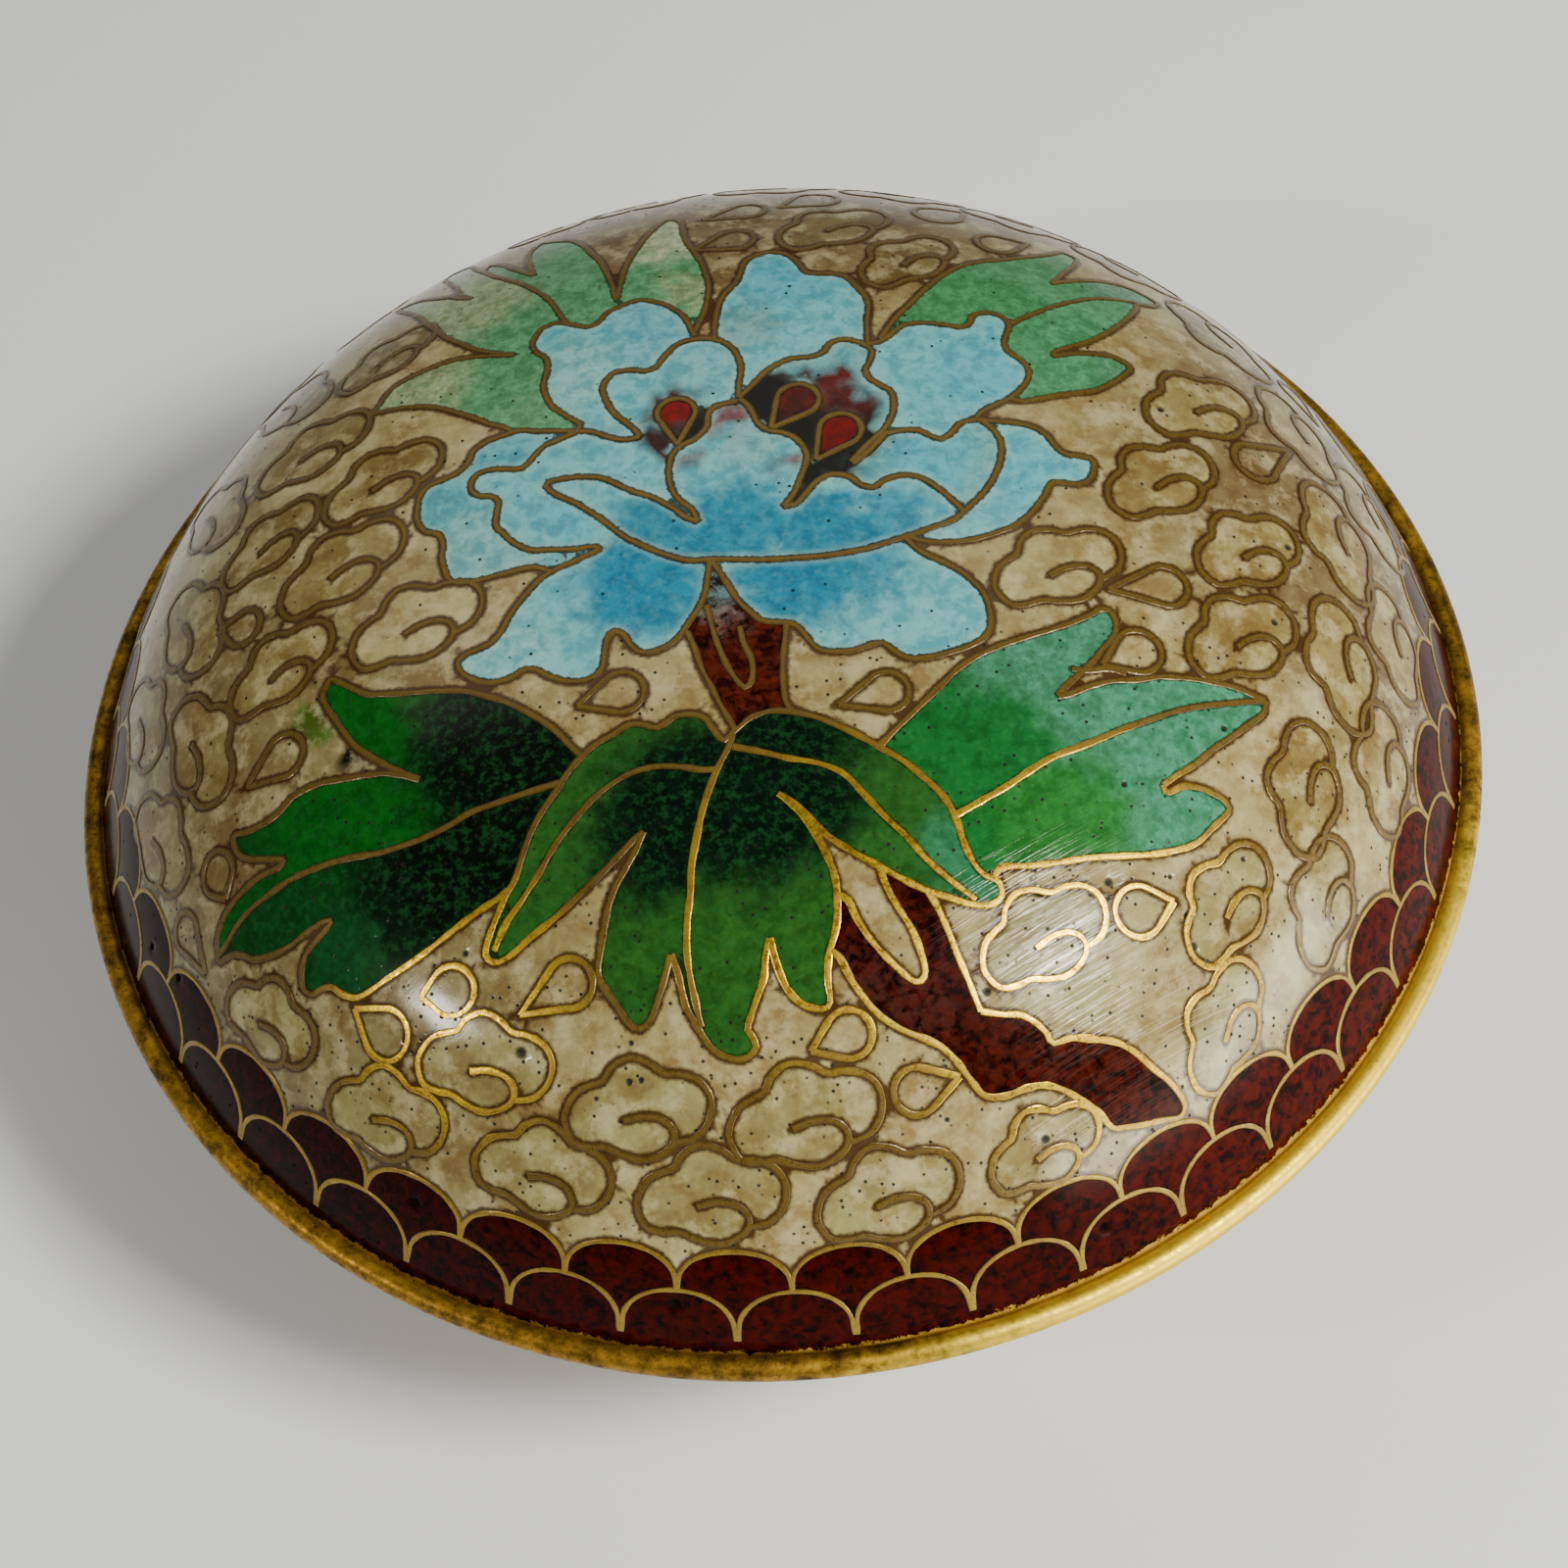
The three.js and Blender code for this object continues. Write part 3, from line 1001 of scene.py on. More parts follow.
    def closed_mesh(self, flat: np.ndarray, faces: np.ndarray, patches: list[Patch]) -> bpy.types.Object:
        """Wraps the cells on the form, adds the lining and closes the edge between them.

        Args:
            flat: The mesh's corners in the drawing.
            faces: Its triangles.
            patches: The patch of each triangle.

        Returns:
            The piece, with its attributes and materials.
        """
        rim = np.where(np.hypot(*flat.T) > self.reach - 1e-4)[0]
        rim = rim[np.argsort(np.arctan2(flat[rim, 1], flat[rim, 0]))]
        depth, pit = self.sunk(flat)
        depth[rim] = 0.0
        outside = self.form.place(flat, depth)
        lining = self.form.lining(self.wall)
        turn = np.arctan2(flat[rim, 1], flat[rim, 0])
        rings = [np.stack([r * np.cos(turn), r * np.sin(turn), np.full_like(turn, z)], axis=1)
                 for r, z in lining[1:][::-1]]
        corners = np.vstack([outside, *rings, [[0.0, 0.0, lining[0, 1]]]])
        loops = [rim] + [len(flat) + k * len(rim) + np.arange(len(rim)) for k in range(len(rings))]
        skin = [*map(tuple, faces.tolist()), *lining_faces(loops, len(corners) - 1)]
        if self.form.rise < 0:
            skin = [face[::-1] for face in skin]
        mesh = bpy.data.meshes.new(self.name)
        mesh.from_pydata((corners * MM).tolist(), [], skin)
        piece = bpy.data.objects.new(self.name, mesh)
        bpy.context.scene.collection.objects.link(piece)
        for glaze in Glaze:
            mesh.materials.append(GLAZES[glaze])
        slots = [patch.glaze.value for patch in patches]
        slots += [Glaze.COUNTER.value] * (len(mesh.polygons) - len(patches))
        mesh.polygons.foreach_set("material_index", slots)
        mesh.polygons.foreach_set("use_smooth", [True] * len(mesh.polygons))
        self.mark(mesh, flat, pit)
        paint(mesh, flat, patches)
        return piece

    def sunk(self, flat: np.ndarray) -> tuple[np.ndarray, np.ndarray]:
        """Sinks the enamel a hair below the form, and deeper in the bigger pits.

        Args:
            flat: The outer corners in the drawing.

        Returns:
            How far each corner stands off the form, and how deep in a pit it is.
        """
        depth = np.full(len(flat), -self.enamel_drop)
        pit = np.zeros(len(flat))
        for u, v, radius in self.drawing.pits:
            share = np.clip(1 - np.hypot(flat[:, 0] - u, flat[:, 1] - v) / (radius * PIT_REACH), 0, 1)
            depth -= share * radius * PIT_DEPTH
            pit = np.maximum(pit, np.clip(share * PIT_BLACKENING, 0, 1))
        return depth, pit

    def mark(self, mesh: bpy.types.Mesh, flat: np.ndarray, pit: np.ndarray) -> None:
        """Gives the piece its marks of firing and use: burnt edges, pits, wear and gilding smears.

        Args:
            mesh: The closed piece's mesh.
            flat: The outer corners in the drawing.
            pit: How deep in a pit each outer corner is.
        """
        turn = np.arctan2(flat[:, 1], flat[:, 0])
        from_edge = self.reach - np.hypot(*flat.T)
        from_spot = np.hypot(flat[:, 0] - SCORED_SPOT[0], flat[:, 1] - SCORED_SPOT[1])
        front = smooth((-flat[:, 1] - 2) / 20)
        scored = smooth(1.6 * (1 - from_spot / SCORED_REACH_MM))
        smeared = smooth(1.5 - np.abs(turn - SMEARED_TURN) / SMEARED_HALF_TURN)
        # Each mark on the outer corners, and its even value on the lining.
        marks = {
            "from_wire": (np.minimum(self.to_wires(flat), FAR_FROM_WIRE_MM), FAR_FROM_WIRE_MM),
            "pit": (pit, 0.0),
            "wear": (0.14 + 0.6 * front * self.front_wear, 0.2),
            "rubbed": (0.05 + 0.95 * scored * self.front_wear, 0.1),
            "gilding": (np.clip(1 - from_edge / SMEARED_RIM_MM, 0, 1) + 0.16 * smeared, 0.0),
        }
        for name, (outside, inside) in marks.items():
            value = np.full(len(mesh.vertices), inside)
            value[:len(flat)] = outside
            mesh.attributes.new(name, "FLOAT", "POINT").data.foreach_set("value", value.astype(np.float32))

    def wires(self, name: str) -> bpy.types.Object:
        """Makes the wires: flat ribbons on edge, ground off a hair above the enamel.

        Args:
            name: The piece's name.

        Returns:
            The piece, in its place.
        """
        corners, faces, fired, crown_sheen, count = [], [], [], [], 0
        scales_from = len(self.drawing.lines) - 2 * self.band.count
        for number, wire in enumerate(self.bent_wires):
            thin = number >= scales_from
            section = self.wire_section(self.scale_wire_width if thin else self.wire_width)
            burn = np.full(len(wire), SCALE_WIRE_FIRED) if thin else self.wire_firing_and_sheen(wire)
            # Painted highlight: how near each corner lies to the wire's crown, which is painted lighter than
            # the edges.
            crown_sheen += [1 - abs(s) / section[-1][0] for s, _ in section] * len(wire)
            fired += np.repeat(burn, len(section)).tolist()
            corners.append(self.ribbon(wire, section))
            size = len(section)
            for i in range(len(wire) - 1):
                for k in range(size):
                    a, b = count + i * size + k, count + i * size + (k + 1) % size
                    faces.append((a, b, b + size, a + size))
            faces.append(tuple(count + k for k in reversed(range(size))))
            faces.append(tuple(count + (len(wire) - 1) * size + k for k in range(size)))
            count += len(wire) * size
        mesh = bpy.data.meshes.new(name)
        mesh.from_pydata((np.vstack(corners) * MM).tolist(), [], faces)
        piece = bpy.data.objects.new(name, mesh)
        bpy.context.scene.collection.objects.link(piece)
        mesh.materials.append(METALS[WIRE_BRASS.name])
        mesh.attributes.new("fired", "FLOAT", "POINT").data.foreach_set("value", np.array(fired, np.float32))
        mesh.attributes.new("crown_sheen", "FLOAT", "POINT").data.foreach_set("value", np.array(crown_sheen, np.float32))
        return piece

    def ribbon(self, wire: np.ndarray, section: list[Point]) -> np.ndarray:
        """Sweeps a section along a wire, a little broader here and narrower there.

        Args:
            wire: The bent wire, in the drawing.
            section: The section, as distance across and distance outwards.

        Returns:
            The ribbon's corners, section by section.
        """
        line = self.form.place(wire, 0.0)
        out = self.form.outward(wire)
        along = np.gradient(line, axis=0)
        along /= np.linalg.norm(along, axis=1)[:, None]
        across = np.cross(out, along)
        across /= np.linalg.norm(across, axis=1)[:, None]
        wobble = [noise.noise(Vector((u, v, WIRE_WOBBLE_START)) / WIRE_WOBBLE_MM) for u, v in wire]
        broad = 1 + WIRE_WOBBLE * np.array(wobble)[:, None]
        rows = np.stack([line + across * s * broad + out * d for s, d in section], axis=1)
        return rows.reshape(-1, 3)

    @staticmethod
    def wire_firing_and_sheen(wire: np.ndarray) -> np.ndarray:
        """Tells how brown the firing left a wire along its run, less at spots where the wire is painted
        bright as a highlight.
        """
        bright = np.zeros(len(wire))
        # Painted highlight: near each spot the brown is taken off, so the wire shows bright gold.
        for (u, v), reach in SHEEN_SPOTS:
            near = 1 - np.hypot(wire[:, 0] - u, wire[:, 1] - v) / reach
            bright = np.maximum(bright, smooth(1.7 * near))
        return WIRE_FIRED - SHEEN_LIFT * bright

    @staticmethod
    def wire_section(width: float) -> list[Point]:
        """Gives the wire's section: flat on top, eased at its edges, with its foot in the enamel."""
        half, ease, drop, foot = width / 2, 0.05, 0.025, 0.12
        return [(-half, -foot), (-half, -drop), (-half + ease, -0.004), (0.0, -0.001), (half - ease, -0.004),
                (half, -drop), (half, -foot)]


def triangulated(points: np.ndarray, edges: list[Edge]) -> tuple[np.ndarray, np.ndarray, set[Edge]]:
    """Fills a flat drawing with triangles that follow its lines.

    Args:
        points: The corners.
        edges: The pairs of corners that must stay joined.

    Returns:
        The corners, the triangles, and the edges that lie on lines.
    """
    found = geometry.delaunay_2d_cdt([Vector(p) for p in points.tolist()], edges, [], 0, 1e-4, True)
    corners, sides, faces, _, from_edges, _ = found
    flat = np.array([tuple(c) for c in corners])
    fixed = {(min(side), max(side)) for side, given in zip(sides, from_edges) if given}
    triangles = np.array([f for f in faces if len(f) == 3])
    a, b, c = flat[triangles[:, 0]], flat[triangles[:, 1]], flat[triangles[:, 2]]
    area = (b[:, 0] - a[:, 0]) * (c[:, 1] - a[:, 1]) - (b[:, 1] - a[:, 1]) * (c[:, 0] - a[:, 0])
    triangles[area < 0] = triangles[area < 0][:, ::-1]
    return flat, triangles, fixed


def neighbours(faces: np.ndarray, fixed: set[Edge]) -> list[list[int]]:
    """Finds the faces that meet across an edge with no wire on it.

    Args:
        faces: The triangles.
        fixed: The edges that lie on wires.

    Returns:
        For each face, the faces that it meets.
    """
    beside: dict[Edge, list[int]] = {}
    for i, (a, b, c) in enumerate(faces.tolist()):
        for pair in ((a, b), (b, c), (c, a)):
            beside.setdefault((min(pair), max(pair)), []).append(i)
    links: list[list[int]] = [[] for _ in faces]
    for pair, pals in beside.items():
        if len(pals) == 2 and pair not in fixed:
            links[pals[0]].append(pals[1])
            links[pals[1]].append(pals[0])
    return links


def lining_faces(loops: list[np.ndarray], middle: int) -> list[tuple[int, ...]]:
    """Joins loops of corners one after another, and fans the last one in to a middle corner.

    Args:
        loops: The corners of each loop, from the rim inwards.
        middle: The middle corner.

    Returns:
        The faces.
    """
    faces: list[tuple[int, ...]] = []
    for near, far in zip(loops[:-1], loops[1:]):
        for i in range(len(near)):
            j = (i + 1) % len(near)
            faces.append((int(near[i]), int(far[i]), int(far[j]), int(near[j])))
    last = loops[-1]
    for i in range(len(last)):
        faces.append((int(last[(i + 1) % len(last)]), int(last[i]), middle))
    return faces


def paint(mesh: bpy.types.Mesh, flat: np.ndarray, patches: list[Patch]) -> None:
    """Tints each cell with its own enamel, corner by corner, and the lining with counter-enamel.

    Args:
        mesh: The closed piece's mesh, whose first faces are the outer triangles.
        flat: The outer corners in the drawing.
        patches: The patch of each outer triangle.
    """
    colours = np.tile(linear(COUNTER_PATCH.colour), (len(mesh.loops), 1))
    by_patch: dict[int, list[int]] = {}
    for i, patch in enumerate(patches):
        by_patch.setdefault(id(patch), []).append(i)
    loop_corner = np.zeros(len(mesh.loops), int)
    mesh.loops.foreach_get("vertex_index", loop_corner)
    for members in by_patch.values():
        loops = (np.array(members)[:, None] * 3 + np.arange(3)).ravel()
        colours[loops] = patches[members[0]].tint(flat[loop_corner[loops]])
    tint = mesh.attributes.new("tint", "FLOAT_COLOR", "CORNER")
    tint.data.foreach_set("color", colours.astype(np.float32).ravel())


def peony(drawing: Drawing) -> None:
    """Draws the peony: overlapping petals round a dark heart with three stamens."""
    drawing.lines += [
        # Petal behind, upper left
        [(-1.7, 13.7), (-2.0, 14.8), (-2.3, 15.6), (-3.0, 16.5), (-3.8, 17.1), (-4.6, 17.4), (-5.5, 17.1),
         (-6.3, 16.7), (-6.7, 16.1), (-7.2, 15.8), (-7.8, 16.0), (-8.4, 16.4), (-9.1, 16.7), (-9.8, 16.5),
         (-10.2, 15.9), (-10.4, 15.2), (-10.2, 14.5), (-9.8, 14.0), (-9.6, 13.4), (-9.7, 12.6),
         (-9.9, 11.7), (-9.8, 10.9), (-9.5, 10.0), (-9.1, 9.5), (-8.6, 8.9), (-8.1, 8.4), (-8.3, 7.9)],
        # Small petal before it
        [(-5.1, 6.9), (-5.3, 7.4), (-5.8, 8.1), (-6.3, 8.8), (-6.6, 9.6), (-6.8, 10.6), (-6.6, 11.2),
         (-6.2, 11.7), (-5.6, 11.8), (-5.0, 11.7), (-4.4, 11.5), (-3.9, 11.7), (-3.5, 12.3), (-3.1, 12.8),
         (-2.7, 13.2), (-2.0, 13.4), (-1.2, 13.4), (-0.5, 13.1), (0.1, 12.5), (0.4, 11.7), (0.5, 10.7),
         (0.3, 9.8), (0.2, 8.7)],
        [(-8.3, 7.9), (-7.5, 7.7), (-6.6, 7.1), (-5.8, 6.8), (-5.1, 6.9)],
        # Left petal
        [(-8.3, 7.9), (-8.8, 7.7), (-9.4, 7.5), (-10.0, 7.3), (-10.5, 6.8), (-10.9, 6.3), (-11.3, 6.0),
         (-11.9, 6.1), (-12.7, 6.3), (-13.4, 6.3), (-13.9, 5.9), (-14.0, 5.2), (-13.6, 4.7), (-13.0, 4.5),
         (-12.6, 4.1), (-12.7, 3.4), (-12.8, 2.5), (-12.4, 1.8), (-11.9, 1.1), (-11.1, 0.5), (-10.0, 0.3),
         (-8.9, 0.1), (-8.0, 0.1), (-7.6, -0.1)],
        # Lower left petal
        [(-7.6, -0.1), (-8.0, -0.3), (-8.8, -0.6), (-9.7, -0.9), (-10.7, -1.4), (-11.4, -2.1),
         (-12.0, -2.8), (-12.5, -3.5), (-12.9, -4.2), (-13.5, -4.8), (-14.2, -5.0), (-14.9, -5.2),
         (-15.2, -5.6), (-14.9, -6.3), (-14.1, -6.9), (-13.3, -7.1), (-12.5, -7.0), (-11.9, -6.7),
         (-11.3, -6.8), (-10.7, -7.3), (-10.0, -7.7), (-9.3, -7.9), (-8.5, -7.8), (-8.0, -7.3),
         (-7.8, -6.3), (-7.6, -5.6), (-7.2, -5.3), (-6.8, -5.6), (-6.5, -6.3), (-6.0, -6.8), (-5.2, -6.8),
         (-4.4, -6.4), (-3.9, -5.9), (-3.5, -5.3), (-3.0, -4.6), (-2.6, -3.7), (-2.4, -2.8), (-2.2, -1.8)],
        # Outer left petal
        [(-8.3, 7.9), (-9.4, 8.2), (-10.3, 8.4), (-11.2, 8.7), (-12.0, 8.6), (-13.0, 8.4), (-13.8, 7.9),
         (-14.0, 7.3), (-14.5, 6.7), (-15.3, 6.4), (-16.2, 6.2), (-16.7, 5.7), (-16.9, 4.8), (-16.9, 3.9),
         (-16.5, 3.1), (-15.8, 2.7), (-15.6, 1.9), (-15.7, 1.2), (-15.6, 0.4), (-15.4, -0.3), (-14.9, -0.7),
         (-13.9, -0.8), (-12.7, -0.7), (-11.1, -0.6), (-10.1, -1.1)],
        # Front petal, from its right edge round underneath to the heart
        *chain([(12.1, 5.7), (12.5, 5.5), (13.0, 4.8), (13.2, 3.9), (13.0, 2.8), (12.5, 1.7), (11.9, 0.8),
                (11.1, 0.0), (10.2, -0.8), (9.1, -1.2), (7.8, -1.6), (6.6, -1.9), (5.2, -2.2), (3.4, -2.3),
                (1.6, -2.2), (0.4, -2.1), (-0.8, -1.9), (-2.1, -1.7), (-3.2, -1.6), (-4.1, -1.2),
                (-4.9, -0.7), (-5.7, -0.1), (-6.4, 0.5), (-7.2, 1.5), (-8.0, 2.4), (-8.8, 3.2), (-9.6, 3.8),
                (-10.0, 4.3), (-10.1, 4.6), (-9.7, 4.8), (-8.9, 4.8), (-8.0, 4.7), (-7.1, 4.4), (-6.6, 4.0),
                (-5.7, 3.3), (-4.7, 2.7), (-3.8, 1.9), (-3.2, 1.2), (-2.6, 0.8)],
               [(-2.8, 1.6), (-3.3, 2.2), (-3.7, 3.0), (-3.8, 4.0), (-3.7, 4.8), (-3.5, 5.4), (-3.0, 5.9),
                (-2.2, 6.3), (-1.6, 7.0), (-1.5, 7.7), (-1.2, 8.2), (-0.6, 8.4), (0.1, 8.5)]),
        # Right lobe of the front petal
        *chain([(0.2, 8.6), (0.5, 8.3), (0.8, 7.6), (1.0, 6.8), (1.5, 6.2), (2.1, 6.0), (2.7, 5.6),
                (3.1, 5.0), (3.3, 4.2), (3.1, 3.5), (2.8, 2.8), (2.4, 1.9), (1.8, 1.1)],
               [(2.4, 1.2), (3.0, 1.8), (3.5, 2.4), (4.2, 2.8), (5.0, 2.7), (5.5, 2.3), (5.8, 1.9),
                (6.4, 1.7), (7.0, 2.1), (7.9, 2.3), (8.7, 2.1), (9.3, 1.6), (9.9, 0.9), (10.5, 0.0),
                (10.7, -0.4)]),
        [(7.4, 5.2), (8.3, 5.3), (9.1, 5.2), (9.6, 4.8), (10.2, 4.5), (10.8, 4.9), (11.3, 5.5),
         (12.1, 5.7)],
        # Inner petal behind the stamens, with the doubled wire at its foot
        [(0.2, 8.7), (1.0, 9.5), (1.7, 10.3), (2.4, 10.8), (3.2, 11.1), (4.2, 11.1), (4.9, 11.4),
         (5.2, 11.9), (5.9, 12.2), (6.6, 12.0), (7.1, 11.6), (7.4, 11.1), (7.2, 10.4), (6.9, 9.8),
         (7.0, 9.2), (7.5, 8.6), (8.0, 8.1), (8.1, 7.3), (7.9, 6.4), (7.4, 5.5), (6.8, 4.9), (6.0, 4.1),
         (5.45, 3.5)],
        [(7.5, 5.3), (6.9, 4.6), (6.2, 3.9), (5.5, 3.4)],
        # Top petal
        [(-0.7, 13.2), (-0.6, 14.4), (-0.4, 15.4), (-0.2, 16.2), (0.2, 17.0), (0.7, 17.6), (1.0, 18.3),
         (1.2, 19.0), (1.5, 19.8), (2.1, 20.2), (2.8, 20.4), (3.5, 20.2), (4.0, 19.6), (4.3, 18.9),
         (4.6, 18.1), (5.2, 17.9), (6.0, 17.8), (6.7, 17.4), (7.1, 16.6), (7.5, 15.7), (7.6, 14.8),
         (7.4, 13.6), (7.3, 12.5), (7.2, 11.7)],
        # Right petal behind
        [(7.2, 11.7), (7.8, 11.8), (8.4, 12.2), (9.0, 12.8), (9.6, 13.1), (10.6, 13.1), (11.5, 12.9),
         (12.3, 12.7), (12.8, 13.0), (13.0, 13.6), (13.5, 13.9), (14.1, 13.9), (14.7, 13.5), (14.9, 12.8),
         (14.6, 12.0), (14.4, 11.2), (14.6, 10.6), (15.2, 9.9), (15.4, 9.0), (15.0, 8.1), (14.2, 7.2),
         (13.3, 6.7), (12.5, 6.2), (12.1, 5.7)],
        # Rightmost petal
        [(12.1, 5.7), (13.2, 5.5), (14.3, 5.3), (15.2, 4.9), (15.7, 4.3), (16.0, 3.6), (16.5, 3.1),
         (17.3, 3.0), (17.8, 2.7), (17.7, 2.0), (17.4, 1.4), (16.8, 1.1), (16.1, 1.2), (15.4, 1.2),
         (15.0, 0.5), (14.5, -0.2), (13.9, -0.9), (13.1, -1.5), (12.0, -1.9), (10.8, -2.2), (9.4, -2.2),
         (8.4, -2.0), (7.7, -1.6)],
        # Lower right petal
        [(-2.1, -1.8), (-1.8, -2.5), (-1.4, -3.5), (-1.0, -4.5), (-0.5, -5.2), (0.0, -5.8), (0.6, -6.0),
         (1.2, -6.1), (1.7, -6.4), (2.1, -7.1), (2.5, -7.8), (3.1, -8.1), (4.1, -8.2), (5.0, -8.0),
         (5.7, -7.9), (6.2, -8.4), (6.8, -8.9), (7.8, -9.0), (9.0, -8.8), (10.0, -8.5), (10.7, -8.1),
         (11.1, -7.5), (11.2, -6.6), (11.1, -5.7), (10.7, -4.9), (10.0, -4.0), (9.1, -3.3), (8.2, -2.6),
         (7.6, -1.7)],
        # Stem, with the narrow loop inside it
        [(-3.7, -5.9), (-3.4, -7.0), (-3.2, -8.1), (-2.8, -9.3), (-2.5, -10.3), (-2.1, -11.3),
         (-1.9, -12.0)],
        [(1.2, -6.2), (1.0, -7.3), (0.8, -8.4), (0.7, -9.6), (0.7, -10.6), (0.9, -11.2)],
        [(-2.6, -4.5), (-2.4, -6.2), (-2.1, -7.6), (-1.7, -8.8), (-1.2, -9.6), (-0.8, -9.2), (-0.7, -8.1),
         (-1.0, -7.0), (-1.1, -6.0)],
    ]
    for middle, radius, tip in (((-3.1, 8.2), 1.0, (-3.2, 6.0)), ((3.2, 8.1), 1.1, (1.65, 6.35)),
                                ((5.15, 5.75), 1.1, (3.7, 3.9))):
        drawing.drop(middle, radius, tip)
    pale, sky, deep, heart = "#68b2be", "#4ca8be", "#00789a", "#040203"
    petal = Glaze.PETAL
    drawing.patches += [
        Patch((-5.0, 14.0), petal, pale, (
            Wash((-3.5, 14.5), 4.0, "#6cabbc", 0.7), Wash((-9.0, 12.0), 4.0, "#86bcbc", 0.7))),
        Patch((-9.0, -4.0), petal, pale, (
            Wash((-5.5, -2.6), 4.6, deep, 1.0), Wash((-12.5, -5.6), 3.0, "#84bcbe", 0.6),
            Wash((-8.6, 2.4), 2.6, sky, 0.7), Wash((-1.6, 11.0), 2.6, "#6cacb6", 0.6),
            Wash((-3.3, 8.0), 2.3, "#300406", 1.0), Wash((-1.9, 7.3), 1.3, heart, 1.0),
            Wash((-2.7, 6.2), 1.7, heart, 1.0), Wash((-4.0, 6.6), 1.5, "#300606", 1.0))),
        Patch((-15.2, 5.0), petal, "#58a2b0", (Wash((-13.5, 1.0), 3.5, "#86b8b6", 0.6),)),
        Patch((5.0, 0.0), petal, pale, (
            Wash((-4.5, 0.6), 3.6, deep, 0.9), Wash((-0.5, 0.4), 3.6, deep, 0.95),
            Wash((3.6, -0.6), 3.2, deep, 0.95), Wash((7.0, -0.4), 2.8, deep, 0.8),
            Wash((0.3, 6.0), 2.4, "#7a9c9c", 0.5), Wash((-0.3, 7.7), 1.5, "#682024", 0.9),
            Wash((2.6, 4.0), 1.0, "#6c2c34", 0.8), Wash((-2.9, 5.0), 0.9, "#6c3038", 0.6))),
        Patch((5.5, 9.5), petal, "#62a2aa", (
            Wash((9.6, 3.2), 3.0, sky, 0.8), Wash((4.0, 6.4), 3.0, "#1c0404", 1.0),
            Wash((3.0, 9.6), 1.3, "#2c0806", 0.95), Wash((4.9, 8.6), 2.1, "#4c0402", 1.0),
            Wash((6.3, 7.0), 1.9, "#4c0402", 1.0), Wash((1.4, 9.0), 1.9, heart, 1.0),
            Wash((1.6, 7.6), 1.9, heart, 1.0), Wash((3.3, 6.2), 1.9, heart, 1.0),
            Wash((4.7, 3.8), 2.0, heart, 1.0), Wash((6.0, 4.9), 1.7, heart, 1.0),
            Wash((3.3, 2.9), 2.0, heart, 1.0), Wash((2.4, 1.6), 1.2, heart, 1.0))),
        Patch((3.0, 16.0), petal, pale, (
            Wash((3.2, 17.5), 3.2, sky, 0.7), Wash((0.5, 14.0), 2.6, "#6c9494", 0.7))),
        Patch((11.0, 10.0), petal, "#62b0bc", (Wash((12.5, 9.0), 3.2, sky, 0.7),)),
        Patch((14.0, 3.0), petal, pale, (Wash((14.5, 1.5), 3.0, sky, 0.6),)),
        Patch((4.0, -5.5), petal, pale, (
            Wash((1.8, -3.3), 4.0, deep, 1.0), Wash((5.0, -3.2), 3.0, deep, 0.8))),
        Patch((0.0, -8.0), Glaze.OXBLOOD, "#481c10", (
            Wash((-2.0, -3.0), 2.8, "#56787c", 1.0), Wash((-1.8, -5.6), 1.2, "#6a5a58", 0.8))),
        Patch((-3.1, 8.4), Glaze.VERMILION, "#700201", (Wash((-3.1, 6.9), 0.9, "#3c3232", 0.9),)),
        Patch((3.2, 8.3), Glaze.VERMILION, "#54100c", (Wash((2.4, 7.2), 1.4, "#2c1614", 0.9),)),
        Patch((5.2, 5.9), Glaze.VERMILION, "#640201"),
    ]


